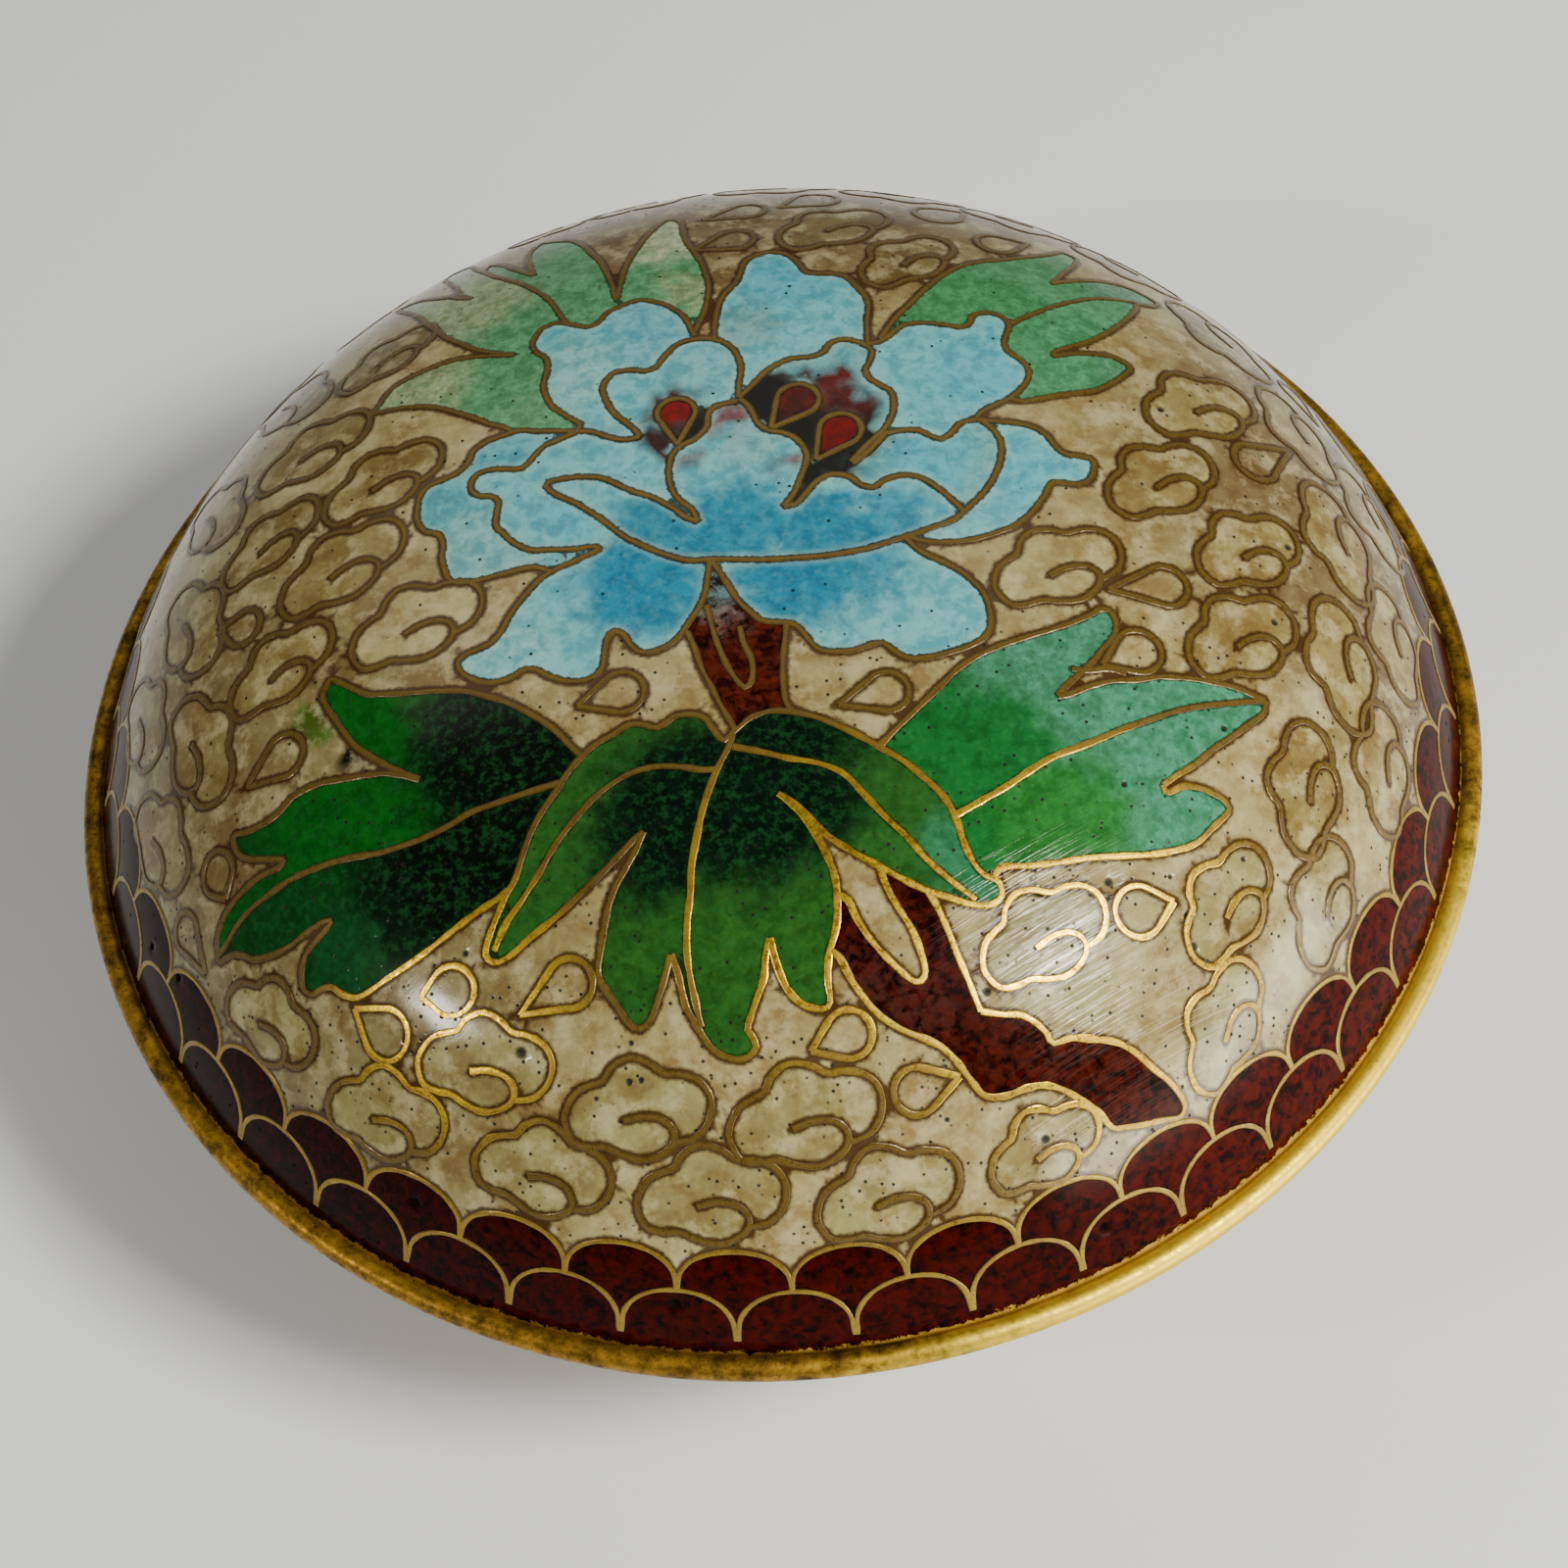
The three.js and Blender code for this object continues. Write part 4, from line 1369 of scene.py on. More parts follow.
def left_leaf(drawing: Drawing) -> None:
    """Draws the big leaf at the left, with four lobes and a long vein."""
    drawing.lines += [
        *chain([(-9.5, -12.0), (-10.0, -11.3), (-10.7, -10.3), (-11.7, -9.3), (-12.8, -8.4), (-14.0, -7.7),
                (-15.0, -7.2), (-16.2, -6.9), (-17.7, -6.6), (-19.0, -6.3), (-20.0, -6.0), (-20.8, -5.4),
                (-21.5, -4.8), (-22.0, -4.4)],
               [(-22.5, -5.2), (-22.3, -6.0), (-21.9, -6.8), (-21.4, -7.8), (-20.8, -8.8), (-20.0, -9.6),
                (-19.0, -10.5), (-18.2, -11.1), (-17.6, -11.5)],
               [(-19.0, -10.8), (-20.2, -10.5), (-21.5, -10.3), (-22.8, -10.1), (-23.8, -10.1),
                (-24.8, -10.3), (-25.7, -10.8), (-26.8, -11.0), (-27.8, -11.0), (-28.7, -10.8)],
               [(-28.8, -11.3), (-28.5, -12.0), (-27.8, -12.5), (-27.0, -12.8), (-26.2, -13.1),
                (-25.6, -13.3)],
               [(-26.0, -13.6), (-26.8, -13.6), (-27.8, -13.7), (-28.8, -14.0), (-29.8, -14.4),
                (-30.7, -15.0), (-31.3, -15.7), (-31.4, -16.4)],
               [(-30.7, -16.2), (-29.7, -15.6), (-28.5, -15.1), (-27.2, -14.8), (-25.7, -14.5),
                (-24.3, -14.4), (-23.0, -14.4), (-21.7, -14.5), (-20.3, -14.7), (-19.0, -14.7),
                (-17.7, -14.6), (-16.3, -14.3), (-15.2, -13.9), (-13.8, -13.7), (-12.3, -13.5),
                (-10.6, -13.3)]),
        *chain([(-31.4, -16.4), (-31.5, -16.8), (-30.3, -16.8), (-29.5, -17.1), (-28.7, -17.6),
                (-27.3, -17.8), (-26.0, -17.7), (-24.8, -17.4), (-23.8, -17.2), (-23.3, -17.3)],
               [(-23.7, -17.6), (-24.3, -17.9), (-25.0, -18.3), (-25.5, -18.8), (-25.8, -19.5),
                (-25.8, -20.1), (-25.3, -20.5), (-24.7, -20.4), (-24.0, -20.5), (-23.5, -21.0),
                (-22.7, -21.4), (-21.8, -21.3), (-20.8, -21.0), (-19.7, -20.7), (-18.5, -20.3),
                (-17.3, -19.8), (-16.2, -19.3), (-15.0, -18.8), (-14.2, -18.5), (-13.7, -18.2)]),
    ]
    bright, dark, teal = "#0c5010", "#020c05", "#0e4222"
    drawing.patches += [
        Patch((-19.0, -9.0), Glaze.LEAF, bright, (
            Wash((-12.5, -11.5), 7.4, dark, 1.0), Wash((-15.5, -9.5), 3.6, dark, 0.7),
            Wash((-28.0, -12.0), 3.4, "#0a3c10", 0.6))),
        Patch((-20.0, -17.5), Glaze.LEAF, "#093c12", (
            Wash((-14.5, -15.8), 6.6, dark, 1.0), Wash((-18.5, -17.5), 5.2, dark, 0.85),
            Wash((-23.0, -19.0), 2.8, teal, 0.8))),
    ]


def centre_leaf(drawing: Drawing) -> None:
    """Draws the leaf under the flower: three sub-leaves from one stem."""
    drawing.lines += [
        *chain([(-2.0, -12.0), (-2.5, -12.4), (-3.0, -11.6), (-3.3, -11.0), (-4.0, -10.7), (-4.7, -10.7),
                (-5.2, -11.0), (-5.7, -11.2), (-6.3, -10.9), (-7.0, -10.8), (-7.8, -11.2), (-8.7, -11.6),
                (-9.5, -12.2), (-10.2, -12.9), (-10.8, -13.7), (-11.5, -14.5), (-12.2, -15.5),
                (-12.8, -16.7), (-13.3, -17.8), (-13.8, -18.4), (-14.3, -19.2), (-14.8, -20.0),
                (-15.2, -20.8), (-15.2, -21.3), (-14.7, -21.6), (-13.8, -21.3), (-13.0, -20.8),
                (-12.0, -20.3), (-11.0, -19.7), (-10.0, -19.0), (-9.0, -18.3), (-8.0, -17.5), (-7.3, -16.9),
                (-6.8, -16.6)],
               [(-7.3, -17.5), (-7.8, -18.2), (-8.4, -19.0), (-8.9, -20.0), (-9.3, -21.2), (-9.6, -22.2),
                (-9.8, -23.2), (-9.4, -24.2), (-9.0, -25.0), (-8.6, -25.8), (-8.1, -26.0), (-7.6, -25.7),
                (-7.2, -25.0), (-6.8, -24.2), (-6.4, -23.3), (-6.2, -22.8)],
               [(-6.0, -23.5), (-5.9, -24.3), (-5.8, -25.3), (-5.5, -26.1), (-5.1, -27.0), (-4.6, -27.7),
                (-3.8, -28.1), (-3.2, -28.1), (-2.7, -27.7), (-2.8, -27.2), (-3.0, -26.8), (-2.7, -26.1),
                (-2.3, -25.3), (-1.9, -24.5), (-1.7, -23.5), (-1.4, -22.7)],
               [(-1.3, -23.5), (-1.1, -24.5), (-0.8, -25.3), (-0.2, -26.0), (0.7, -26.3), (1.1, -26.0),
                (1.1, -25.0), (1.3, -23.8), (1.8, -22.5), (2.0, -21.2), (2.0, -20.0), (1.7, -18.8),
                (1.3, -17.8), (0.8, -16.8), (0.2, -16.0), (-0.2, -15.6)],
               [(0.4, -16.1), (1.0, -16.8), (1.6, -17.7), (2.3, -18.4), (3.3, -19.2), (4.3, -19.9),
                (5.3, -20.6), (6.3, -21.2), (7.3, -21.6), (8.3, -22.0), (9.2, -22.1), (9.8, -21.8),
                (9.9, -21.3), (9.7, -20.9), (9.1, -20.6), (8.6, -19.8), (8.3, -18.8), (8.1, -17.7),
                (7.6, -16.5), (6.8, -15.5), (6.0, -14.6), (5.0, -13.8), (4.0, -13.0), (3.0, -12.3),
                (2.0, -11.7), (1.0, -11.3), (0.0, -11.1), (-1.0, -11.3), (-1.7, -11.8), (-2.0, -12.0)]),
        [(-14.8, -21.0), (-14.0, -19.8), (-13.0, -18.8), (-12.0, -17.6), (-11.0, -16.3), (-10.0, -15.3),
         (-9.0, -14.4), (-8.0, -13.8), (-7.0, -13.4), (-5.8, -13.3), (-4.7, -13.5), (-3.8, -13.8),
         (-3.0, -13.9)],
        [(-2.0, -12.1), (-2.3, -12.8), (-2.9, -13.8), (-3.4, -14.8), (-3.9, -16.0), (-4.3, -17.3),
         (-4.7, -18.7), (-4.9, -20.0), (-5.2, -21.3), (-5.4, -22.7), (-5.4, -24.0), (-5.3, -25.2),
         (-5.2, -26.4)],
        [(-2.1, -12.8), (-0.7, -13.3), (0.5, -13.8), (1.8, -14.2), (3.0, -14.9), (3.8, -16.0), (4.7, -17.3),
         (5.6, -18.4), (6.5, -19.7), (7.5, -20.8), (8.6, -21.8)],
    ]
    bright, mid, dark = "#22521e", "#245422", "#03140a"
    drawing.patches += [
        Patch((-8.0, -12.6), Glaze.LEAF, bright, (
            Wash((-6.0, -12.0), 7.0, dark, 1.0), Wash((-10.5, -13.6), 3.6, dark, 0.6))),
        Patch((-7.0, -20.0), Glaze.LEAF, bright, (
            Wash((-4.0, -15.6), 6.0, dark, 1.0), Wash((-6.4, -17.4), 4.2, dark, 0.85))),
        Patch((-1.0, -19.0), Glaze.LEAF, bright, (
            Wash((-1.8, -15.4), 6.4, dark, 1.0), Wash((1.8, -15.6), 3.8, dark, 0.9),
            Wash((8.2, -21.2), 2.6, "#2c7050", 0.9), Wash((5.4, -19.6), 3.0, mid, 0.8))),
        Patch((4.0, -14.2), Glaze.LEAF, mid, (
            Wash((0.0, -12.2), 4.6, dark, 1.0), Wash((3.0, -13.4), 2.6, dark, 0.6),
            Wash((8.2, -20.0), 3.0, "#2c7050", 0.8))),
    ]


def right_leaf(drawing: Drawing) -> None:
    """Draws the leaf at the right, green towards the stem and mint at its tips."""
    drawing.lines += [
        *chain([(4.9, -13.7), (5.3, -13.3), (6.3, -12.4), (7.3, -11.5), (8.3, -10.6), (9.3, -9.7),
                (10.3, -9.1), (11.5, -8.6), (12.8, -8.2), (14.2, -7.8), (15.3, -7.4), (16.2, -7.0),
                (16.7, -6.7), (17.2, -6.8), (17.4, -7.5), (17.2, -8.2), (16.5, -9.0), (15.8, -9.8),
                (15.0, -10.5), (14.3, -11.1), (13.9, -11.6)],
               [(14.5, -11.5), (15.5, -11.1), (16.7, -10.8), (18.0, -10.7), (19.3, -10.5), (20.7, -10.5),
                (22.0, -10.6), (23.3, -10.8), (24.3, -11.1), (24.9, -11.3)],
               [(24.7, -12.0), (23.8, -12.7), (22.7, -13.5), (21.5, -14.3), (20.5, -15.1), (19.5, -15.7),
                (18.6, -16.3)],
               [(18.8, -16.7), (19.7, -16.3), (20.7, -16.4), (21.7, -16.8), (22.1, -17.3), (21.7, -17.8),
                (21.0, -18.4), (20.2, -19.1), (19.2, -19.5), (17.7, -19.8), (16.0, -19.9), (14.3, -20.0),
                (12.7, -20.2), (11.3, -20.3), (10.0, -20.3), (9.6, -20.8)]),
        [(8.1, -17.6), (9.3, -17.0), (10.7, -16.3), (12.0, -15.5), (13.3, -14.8), (15.0, -14.2),
         (16.7, -13.5), (18.3, -12.9), (20.0, -12.3), (21.7, -11.9), (23.3, -11.6), (24.8, -11.3)],
        [(14.8, -10.1), (15.6, -10.2), (16.6, -10.1), (17.5, -10.4)],
    ]
    green, mint = "#1a602a", "#408268"
    drawing.patches += [
        Patch((10.0, -11.5), Glaze.LEAF, mint, (
            Wash((7.6, -14.4), 6.2, green, 1.0), Wash((11.2, -14.6), 3.8, green, 0.9))),
        Patch((14.0, -17.5), Glaze.LEAF, mint, (
            Wash((9.5, -18.5), 5.8, green, 1.0), Wash((13.5, -18.0), 4.6, "#266c2c", 0.95))),
    ]


def branch(drawing: Drawing) -> None:
    """Draws the red-brown branch that runs to the lower right, with a bud in its fork."""
    drawing.lines += [
        *chain([(6.3, -21.2), (6.7, -22.0), (7.1, -23.2), (7.4, -24.3), (7.8, -25.5), (8.1, -26.5),
                (8.3, -27.1)],
               [(9.3, -27.3), (10.3, -27.4), (11.0, -27.8), (11.5, -28.3), (11.8, -28.8), (12.8, -28.6),
                (14.0, -28.7), (15.2, -28.9), (16.2, -29.4), (17.2, -30.2), (18.2, -30.9), (19.0, -31.7),
                (19.3, -32.3), (19.0, -32.8), (18.0, -32.9), (16.7, -33.1), (15.2, -33.2)],
               [(14.8, -33.0), (14.2, -32.3), (13.3, -31.7), (12.3, -31.1), (11.3, -30.8), (10.3, -30.9),
                (9.2, -31.2), (8.2, -31.1), (7.6, -30.4), (7.0, -29.5), (6.3, -28.7), (5.5, -28.2),
                (4.3, -27.6), (3.3, -26.8), (2.6, -25.8), (2.1, -24.8), (1.8, -24.0), (1.4, -23.6)]),
        [(2.0, -21.0), (2.5, -21.3), (2.8, -22.2), (3.3, -23.2), (4.0, -24.2), (4.8, -25.1), (5.3, -25.5),
         (5.7, -25.3), (5.8, -24.8), (5.6, -23.8), (5.3, -22.8), (4.8, -21.8), (4.4, -20.8), (4.2, -19.9)],
    ]
    drawing.patches.append(Patch((5.0, -27.0), Glaze.OXBLOOD, "#38140c", (
        Wash((4.0, -26.0), 4.0, "#3c2220", 0.6),)))


def upper_leaves(drawing: Drawing) -> None:
    """Draws the pale leaves behind the flower and the sea-green leaf at its right."""
    drawing.lines += [
        *chain([(-11.4, 14.7), (-13.0, 15.2), (-14.1, 15.5), (-15.2, 15.6), (-16.3, 15.5), (-17.3, 15.3),
                (-18.3, 14.9), (-18.8, 14.3), (-19.2, 13.6), (-19.7, 13.2)],
               [(-19.0, 13.1), (-17.7, 12.8), (-16.6, 12.4), (-15.5, 11.8), (-14.5, 11.0), (-13.6, 10.3),
                (-12.8, 9.6), (-12.0, 9.1), (-11.7, 8.7)]),
        *chain([(-11.4, 14.7), (-12.2, 15.1), (-13.0, 15.6), (-13.8, 16.3), (-14.5, 17.1), (-15.3, 18.1),
                (-15.9, 19.2), (-16.5, 20.3), (-17.0, 21.5), (-17.8, 23.0), (-18.4, 24.0), (-18.9, 24.9),
                (-19.3, 25.8)],
               [(-18.0, 25.3), (-17.0, 24.5), (-16.2, 23.7), (-15.3, 23.0), (-14.7, 22.3), (-14.0, 21.8)],
               [(-14.7, 22.8), (-15.0, 24.0), (-15.5, 25.3), (-16.0, 26.7), (-16.4, 27.8), (-16.2, 29.2)],
               [(-14.8, 28.5), (-14.2, 26.8), (-13.5, 25.3), (-12.7, 23.8), (-11.7, 22.5), (-10.7, 21.2),
                (-9.8, 19.8), (-9.2, 18.5), (-8.8, 17.3), (-8.5, 16.5)]),
        *chain([(-13.5, 25.3), (-13.2, 26.2), (-12.3, 25.3), (-11.7, 24.2), (-11.0, 23.2), (-10.3, 22.3)],
               [(-10.5, 23.3), (-10.7, 24.7), (-10.7, 26.0), (-10.3, 27.0), (-10.0, 27.3), (-9.2, 26.8),
                (-8.2, 26.0), (-7.5, 24.7), (-7.0, 23.3), (-6.5, 22.0), (-6.2, 20.7), (-5.9, 19.3),
                (-5.8, 18.2), (-5.7, 17.8)],
               [(-5.4, 19.2), (-5.2, 20.3), (-4.8, 21.7), (-4.3, 23.0), (-3.8, 24.2), (-3.3, 25.2),
                (-2.8, 26.0), (-2.4, 26.1), (-1.9, 25.5), (-1.8, 24.3), (-1.7, 23.0), (-1.4, 21.7),
                (-1.0, 20.3), (-0.8, 19.0), (-0.7, 17.7), (-0.9, 16.3), (-1.2, 15.2), (-1.7, 14.0)]),
        *chain([(7.9, 12.0), (8.9, 13.6), (9.8, 14.7), (10.7, 15.9), (11.8, 17.2), (13.0, 18.3),
                (14.3, 19.0), (15.5, 19.4), (16.8, 20.0), (17.9, 20.6), (18.8, 21.3), (19.6, 22.1)],
               [(20.3, 21.6), (20.1, 20.6), (19.6, 19.7), (19.0, 18.8), (18.4, 17.9), (18.0, 17.3)],
               [(18.8, 17.7), (19.8, 18.2), (20.9, 18.6), (22.0, 18.9), (23.0, 18.9), (23.9, 18.5),
                (24.6, 17.9)],
               [(24.1, 17.2), (23.0, 16.8), (22.7, 16.1), (22.1, 15.1), (21.3, 14.0), (20.2, 12.8),
                (19.1, 11.9), (18.0, 11.3), (17.1, 10.8), (16.9, 10.4)],
               [(17.9, 10.7), (18.9, 10.8), (20.0, 10.8), (20.8, 10.4), (21.1, 9.9)],
               [(20.5, 9.2), (19.6, 8.4), (18.6, 7.8), (17.3, 7.5), (16.1, 7.2), (14.8, 6.9), (14.1, 7.1)]),
        [(15.0, 13.0), (16.4, 14.0), (17.7, 14.9), (18.9, 15.6), (20.2, 16.3), (21.4, 16.7), (22.9, 17.0)],
    ]
    sea, celadon = "#56906a", "#90a27e"
    drawing.patches += [
        Patch((-15.0, 13.5), Glaze.LEAF, sea, (
            Wash((-18.0, 14.2), 5.2, celadon, 0.95), Wash((-15.0, 23.0), 7.0, celadon, 0.95),
            Wash((-17.5, 23.5), 4.0, celadon, 0.9))),
        Patch((-8.0, 21.0), Glaze.LEAF, sea, (
            Wash((-9.0, 25.5), 5.4, celadon, 1.0), Wash((-12.0, 24.5), 4.0, celadon, 0.9))),
        Patch((-3.2, 20.0), Glaze.LEAF, sea, (
            Wash((-2.8, 24.5), 4.6, "#aab898", 1.0), Wash((-1.4, 17.5), 2.4, celadon, 0.8))),
        Patch((14.0, 16.5), Glaze.LEAF, "#46885c", (Wash((23.0, 18.0), 4.0, "#50806a", 0.8),)),
        Patch((18.0, 13.0), Glaze.LEAF, "#4a8c64", (Wash((20.5, 9.5), 2.5, "#50886a", 0.8),)),
    ]


# Clouds on the lid: middle, turn in degrees and size.
LID_CLOUDS: list[tuple[Point, float, float]] = [
    ((6.6, 23.1), 12, 1.0), ((10.2, 19.1), 24, 0.92), ((15.0, -4.0), 4, 1.0), ((25.5, -2.2), 12, 1.0),
    ((24.2, -7.7), 12, 1.02), ((21.3, 1.8), 16, 1.0), ((24.8, 7.9), 12, 1.1), ((31.4, 8.7), 92, 1.04),
    ((31.9, 0.4), 82, 1.12), ((30.4, -8.0), 76, 1.1), ((35.2, -5.0), 82, 1.02), ((32.9, -13.3), 72, 1.05),
    ((26.9, -15.6), 62, 1.02), ((28.0, -21.4), 58, 1.0), ((21.7, -22.0), 36, 0.97),
    ((21.5, -28.1), 50, 1.0), ((11.8, -23.6), 9, 0.98), ((11.3, -33.9), 8, 0.9), ((3.0, -35.5), -5, 1.08),
    ((-0.7, -31.2), -10, 1.1), ((-6.0, -34.5), -20, 1.1), ((-8.9, -29.8), -22, 1.06),
    ((-14.5, -31.9), -38, 1.06), ((-16.3, -26.2), -33, 1.03), ((-22.7, -27.4), -40, 1.05),
    ((-28.7, -21.0), -58, 0.98), ((-30.6, -4.9), -88, 1.08), ((-34.9, -8.4), -80, 1.06),
    ((-31.2, 3.6), -85, 1.14), ((-25.7, 6.4), 4, 0.96), ((-21.2, 2.5), 2, 1.07), ((-25.0, -2.5), 2, 0.96),
    ((-17.2, -2.5), -4, 1.02), ((-18.8, 7.6), 2, 1.0), ((-23.2, 12.3), -8, 1.05), ((-18.9, 18.5), 10, 0.92),
    ((-25.6, 19.6), -66, 1.12), ((-30.4, 12.2), -78, 1.1), ((-35.9, 0.0), -86, 1.05),
    ((36.1, 4.6), 96, 1.04), ((28.3, 16.4), 108, 1.1), ((24.0, 23.0), 134, 1.0), ((18.2, 27.2), 146, 1.02),
    ((11.4, 30.3), 160, 1.05), ((3.9, 32.2), 174, 1.05), ((-3.9, 32.4), 186, 1.05),
    ((-9.6, 31.4), 196, 0.9), ((-21.6, 29.0), 216, 1.0), ((-27.4, 24.6), 226, 0.92),
]
# Where the clouds' tone and painted shade change: out from the middle, to the front and to the back, in
# millimetres.
CLOUD_SHADE_RADIUS = 20.0
CLOUD_SHADE_FRONT = -20.0
CLOUD_SHADE_BACK = 14.0
# Teardrops on the lid: middle of the round, its radius, and the tip.
LID_DROPS: list[tuple[Point, float, Point]] = [
    ((1.9, 26.1), 1.1, (-0.6, 25.3)), ((6.0, 27.6), 1.3, (3.8, 26.2)), ((12.8, 25.4), 1.4, (14.6, 26.8)),
    ((1.0, 22.2), 1.1, (-1.3, 21.5)), ((15.6, 21.5), 1.2, (17.6, 22.3)), ((-7.2, -8.9), 1.15, (-9.4, -9.3)),
    ((5.6, -10.7), 1.1, (3.2, -11.2)), ((18.3, -9.1), 1.2, (16.4, -9.9)), ((20.3, -5.2), 1.2, (17.3, -5.5)),
    ((-11.3, -23.3), 1.2, (-14.0, -24.3)), ((-17.3, -22.4), 1.2, (-19.0, -22.3)),
    ((-21.4, -23.6), 1.3, (-22.9, -21.9)), ((-25.0, -7.8), 1.2, (-27.5, -8.6)),
    ((-30.3, -12.3), 1.2, (-30.0, -13.8)), ((1.8, -27.6), 1.15, (-0.1, -28.2)),
    ((4.8, -30.6), 1.15, (7.0, -30.1)), ((16.7, -22.6), 1.25, (18.6, -22.1)),
    ((27.2, 4.2), 1.3, (30.0, 6.2)), ((-33.8, -14.2), 1.1, (-32.9, -16.9)),
    ((-27.2, 1.1), 1.1, (-29.0, 1.9)), ((33.4, 14.4), 1.1, (34.4, 11.8)),
]
# Bigger pits in the lid's enamel: place and radius.
LID_PITS: list[tuple[float, float, float]] = [
    (15.25, -21.2, 0.22), (19.4, -22.8, 0.26), (19.6, -24.3, 0.24), (-14.3, -26.05, 0.3), (8.7, -26.2, 0.22),
    (11.3, -33.5, 0.24), (-9.2, -40.1, 0.34), (14.9, -38.6, 0.32), (-13.1, -27.3, 0.14), (-8.7, -26.6, 0.14),
    (-9.1, -28.4, 0.18), (-8.5, -28.4, 0.16), (-6.2, -31.2, 0.12), (6.2, -32.1, 0.14), (-2.7, -33.5, 0.2),
    (-20.4, -24.1, 0.16), (28.0, -1.5, 0.2), (22.3, -13.1, 0.18), (26.2, -6.6, 0.2), (-16.3, -20.8, 0.16),
    (11.7, -21.6, 0.2), (22.7, -19.8, 0.16), (-37.8, -13.3, 0.2), (-35.6, -16.1, 0.22), (-22.6, -32.2, 0.26),
    (18.5, -20.9, 0.13), (16.6, -16.3, 0.16), (22.2, 6.9, 0.2), (3.6, 17.0, 0.12), (-10.9, -28.9, 0.12),
]


def shaded_cloud_tone(middle: Point) -> str:
    """Picks a lid cloud's enamel by its place: creamy in the middle, green in front, and darker brown
    towards the edge and the back as painted shade.
    """
    if middle[1] < CLOUD_SHADE_FRONT:
        return "#888256"
    if middle[1] > CLOUD_SHADE_BACK:
        return "#6c603a"
    return "#989062" if math.hypot(*middle) < CLOUD_SHADE_RADIUS else "#807448"


def lid_drawing(reach: float, band: ScaleBand) -> Drawing:
    """Draws the lid: the peony with its leaves, clouds and teardrops, and two rows of scales.

    Args:
        reach: The distance along the lid from its middle to the edge.
        band: The band of scales.

    Returns:
        The finished drawing.
    """
    drawing = Drawing()
    peony(drawing)
    left_leaf(drawing)
    centre_leaf(drawing)
    right_leaf(drawing)
    branch(drawing)
    upper_leaves(drawing)
    for middle, turn, size in LID_CLOUDS:
        drawing.cloud(middle, turn, size, colour=shaded_cloud_tone(middle))
    for middle, radius, tip in LID_DROPS:
        drawing.drop(middle, radius, tip)
    drawing.scales(reach, band)
    drawing.pits += LID_PITS
    return drawing


@dataclass(frozen=True)
class BowlPattern:
    """The base's plainer pattern: rings of clouds between a line at the foot and the scales."""

    first_line: float = 23.6
    line_gap: float = 0.9
    line_steps: int = 90
    rows: tuple[float, ...] = (26.6, 31.2, 35.6)
    clouds_a_row: tuple[int, ...] = (20, 22, 24)
    cloud_size: float = 0.9

    def drawing(self, reach: float, band: ScaleBand) -> Drawing:
        """Draws the base's outside.

        Args:
            reach: The distance along the base from its middle to the edge.
            band: The band of scales.

        Returns:
            The finished drawing.
        """
        drawing = Drawing()
        turns = [math.tau * i / self.line_steps for i in range(self.line_steps + 1)]
        for radius in (self.first_line - self.line_gap, self.first_line):
            drawing.lines.append([(radius * math.cos(turn), radius * math.sin(turn)) for turn in turns])
        for number, (radius, count) in enumerate(zip(self.rows, self.clouds_a_row)):
            for i in range(count):
                azimuth = 360 * (i + 0.5 * (number % 2)) / count - 90
                turn = math.radians(azimuth)
                middle = (radius * math.cos(turn), radius * math.sin(turn))
                drawing.cloud(middle, azimuth - 90, self.cloud_size, flip=i % 2 == 0)
        drawing.scales(reach, band)
        return drawing


@dataclass
class GiltRing:
    """A turned brass ring, worked from one circle along its section."""

    name: str
    section: list[Point]
    around: int = 256

    def build(self) -> bpy.types.Object:
        """Makes the ring: a circle is extruded and resized round the section, then closed on itself.

        Returns:
            The piece, in its place.
        """
        bpy.ops.object.select_all(action="DESELECT")
        first_r, first_z = self.section[0]
        bpy.ops.mesh.primitive_circle_add(vertices=self.around, radius=first_r * MM, fill_type="NOTHING")
        piece = bpy.context.object
        piece.name = piece.data.name = self.name
        bpy.ops.object.mode_set(mode="EDIT")
        bpy.ops.mesh.select_all(action="SELECT")
        bpy.ops.transform.translate(value=(0, 0, first_z * MM))
        at_r, at_z = first_r, first_z
        for r, z in self.section[1:]:
            bpy.ops.mesh.extrude_region_move(TRANSFORM_OT_translate={"value": (0, 0, (z - at_z) * MM)})
            bpy.ops.transform.resize(value=(r / at_r, r / at_r, 1), center_override=(0, 0, z * MM))
            at_r, at_z = r, z
        bpy.ops.mesh.select_all(action="DESELECT")
        bpy.ops.mesh.select_mode(type="EDGE")
        bpy.ops.mesh.select_non_manifold()
        bpy.ops.mesh.bridge_edge_loops()
        bpy.ops.mesh.select_all(action="SELECT")
        bpy.ops.mesh.normals_make_consistent(inside=False)
        bpy.ops.object.mode_set(mode="OBJECT")
        bpy.ops.object.shade_smooth_by_angle(angle=math.radians(35))
        piece.data.materials.clear()
        piece.data.materials.append(METALS[RIM_GILT.name])
        return piece


def arc_points(middle: Point, radius: float, start: float, end: float, steps: int) -> list[Point]:
    """Gives points of an arc, with angles in degrees from outward.

    Args:
        middle: The arc's middle as radius and height.
        radius: The arc's radius.
        start: The first angle.
        end: The last angle.
        steps: How many steps it takes.

    Returns:
        The points, in order.
    """
    turns = [math.radians(start + (end - start) * i / steps) for i in range(steps + 1)]
    return [(middle[0] + radius * math.cos(t), middle[1] + radius * math.sin(t)) for t in turns]


def span(node: str) -> tuple[float, float, float]:
    """Measures a turned node of the frame.

    Args:
        node: The node's name.

    Returns:
        Its outer radius, lowest and highest height, in millimetres.
    """
    low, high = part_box(node)
    return high.x / MM, low.z / MM, high.z / MM


GROUND_CREAM = "#948a60"
SCALE_RED = "#300400"


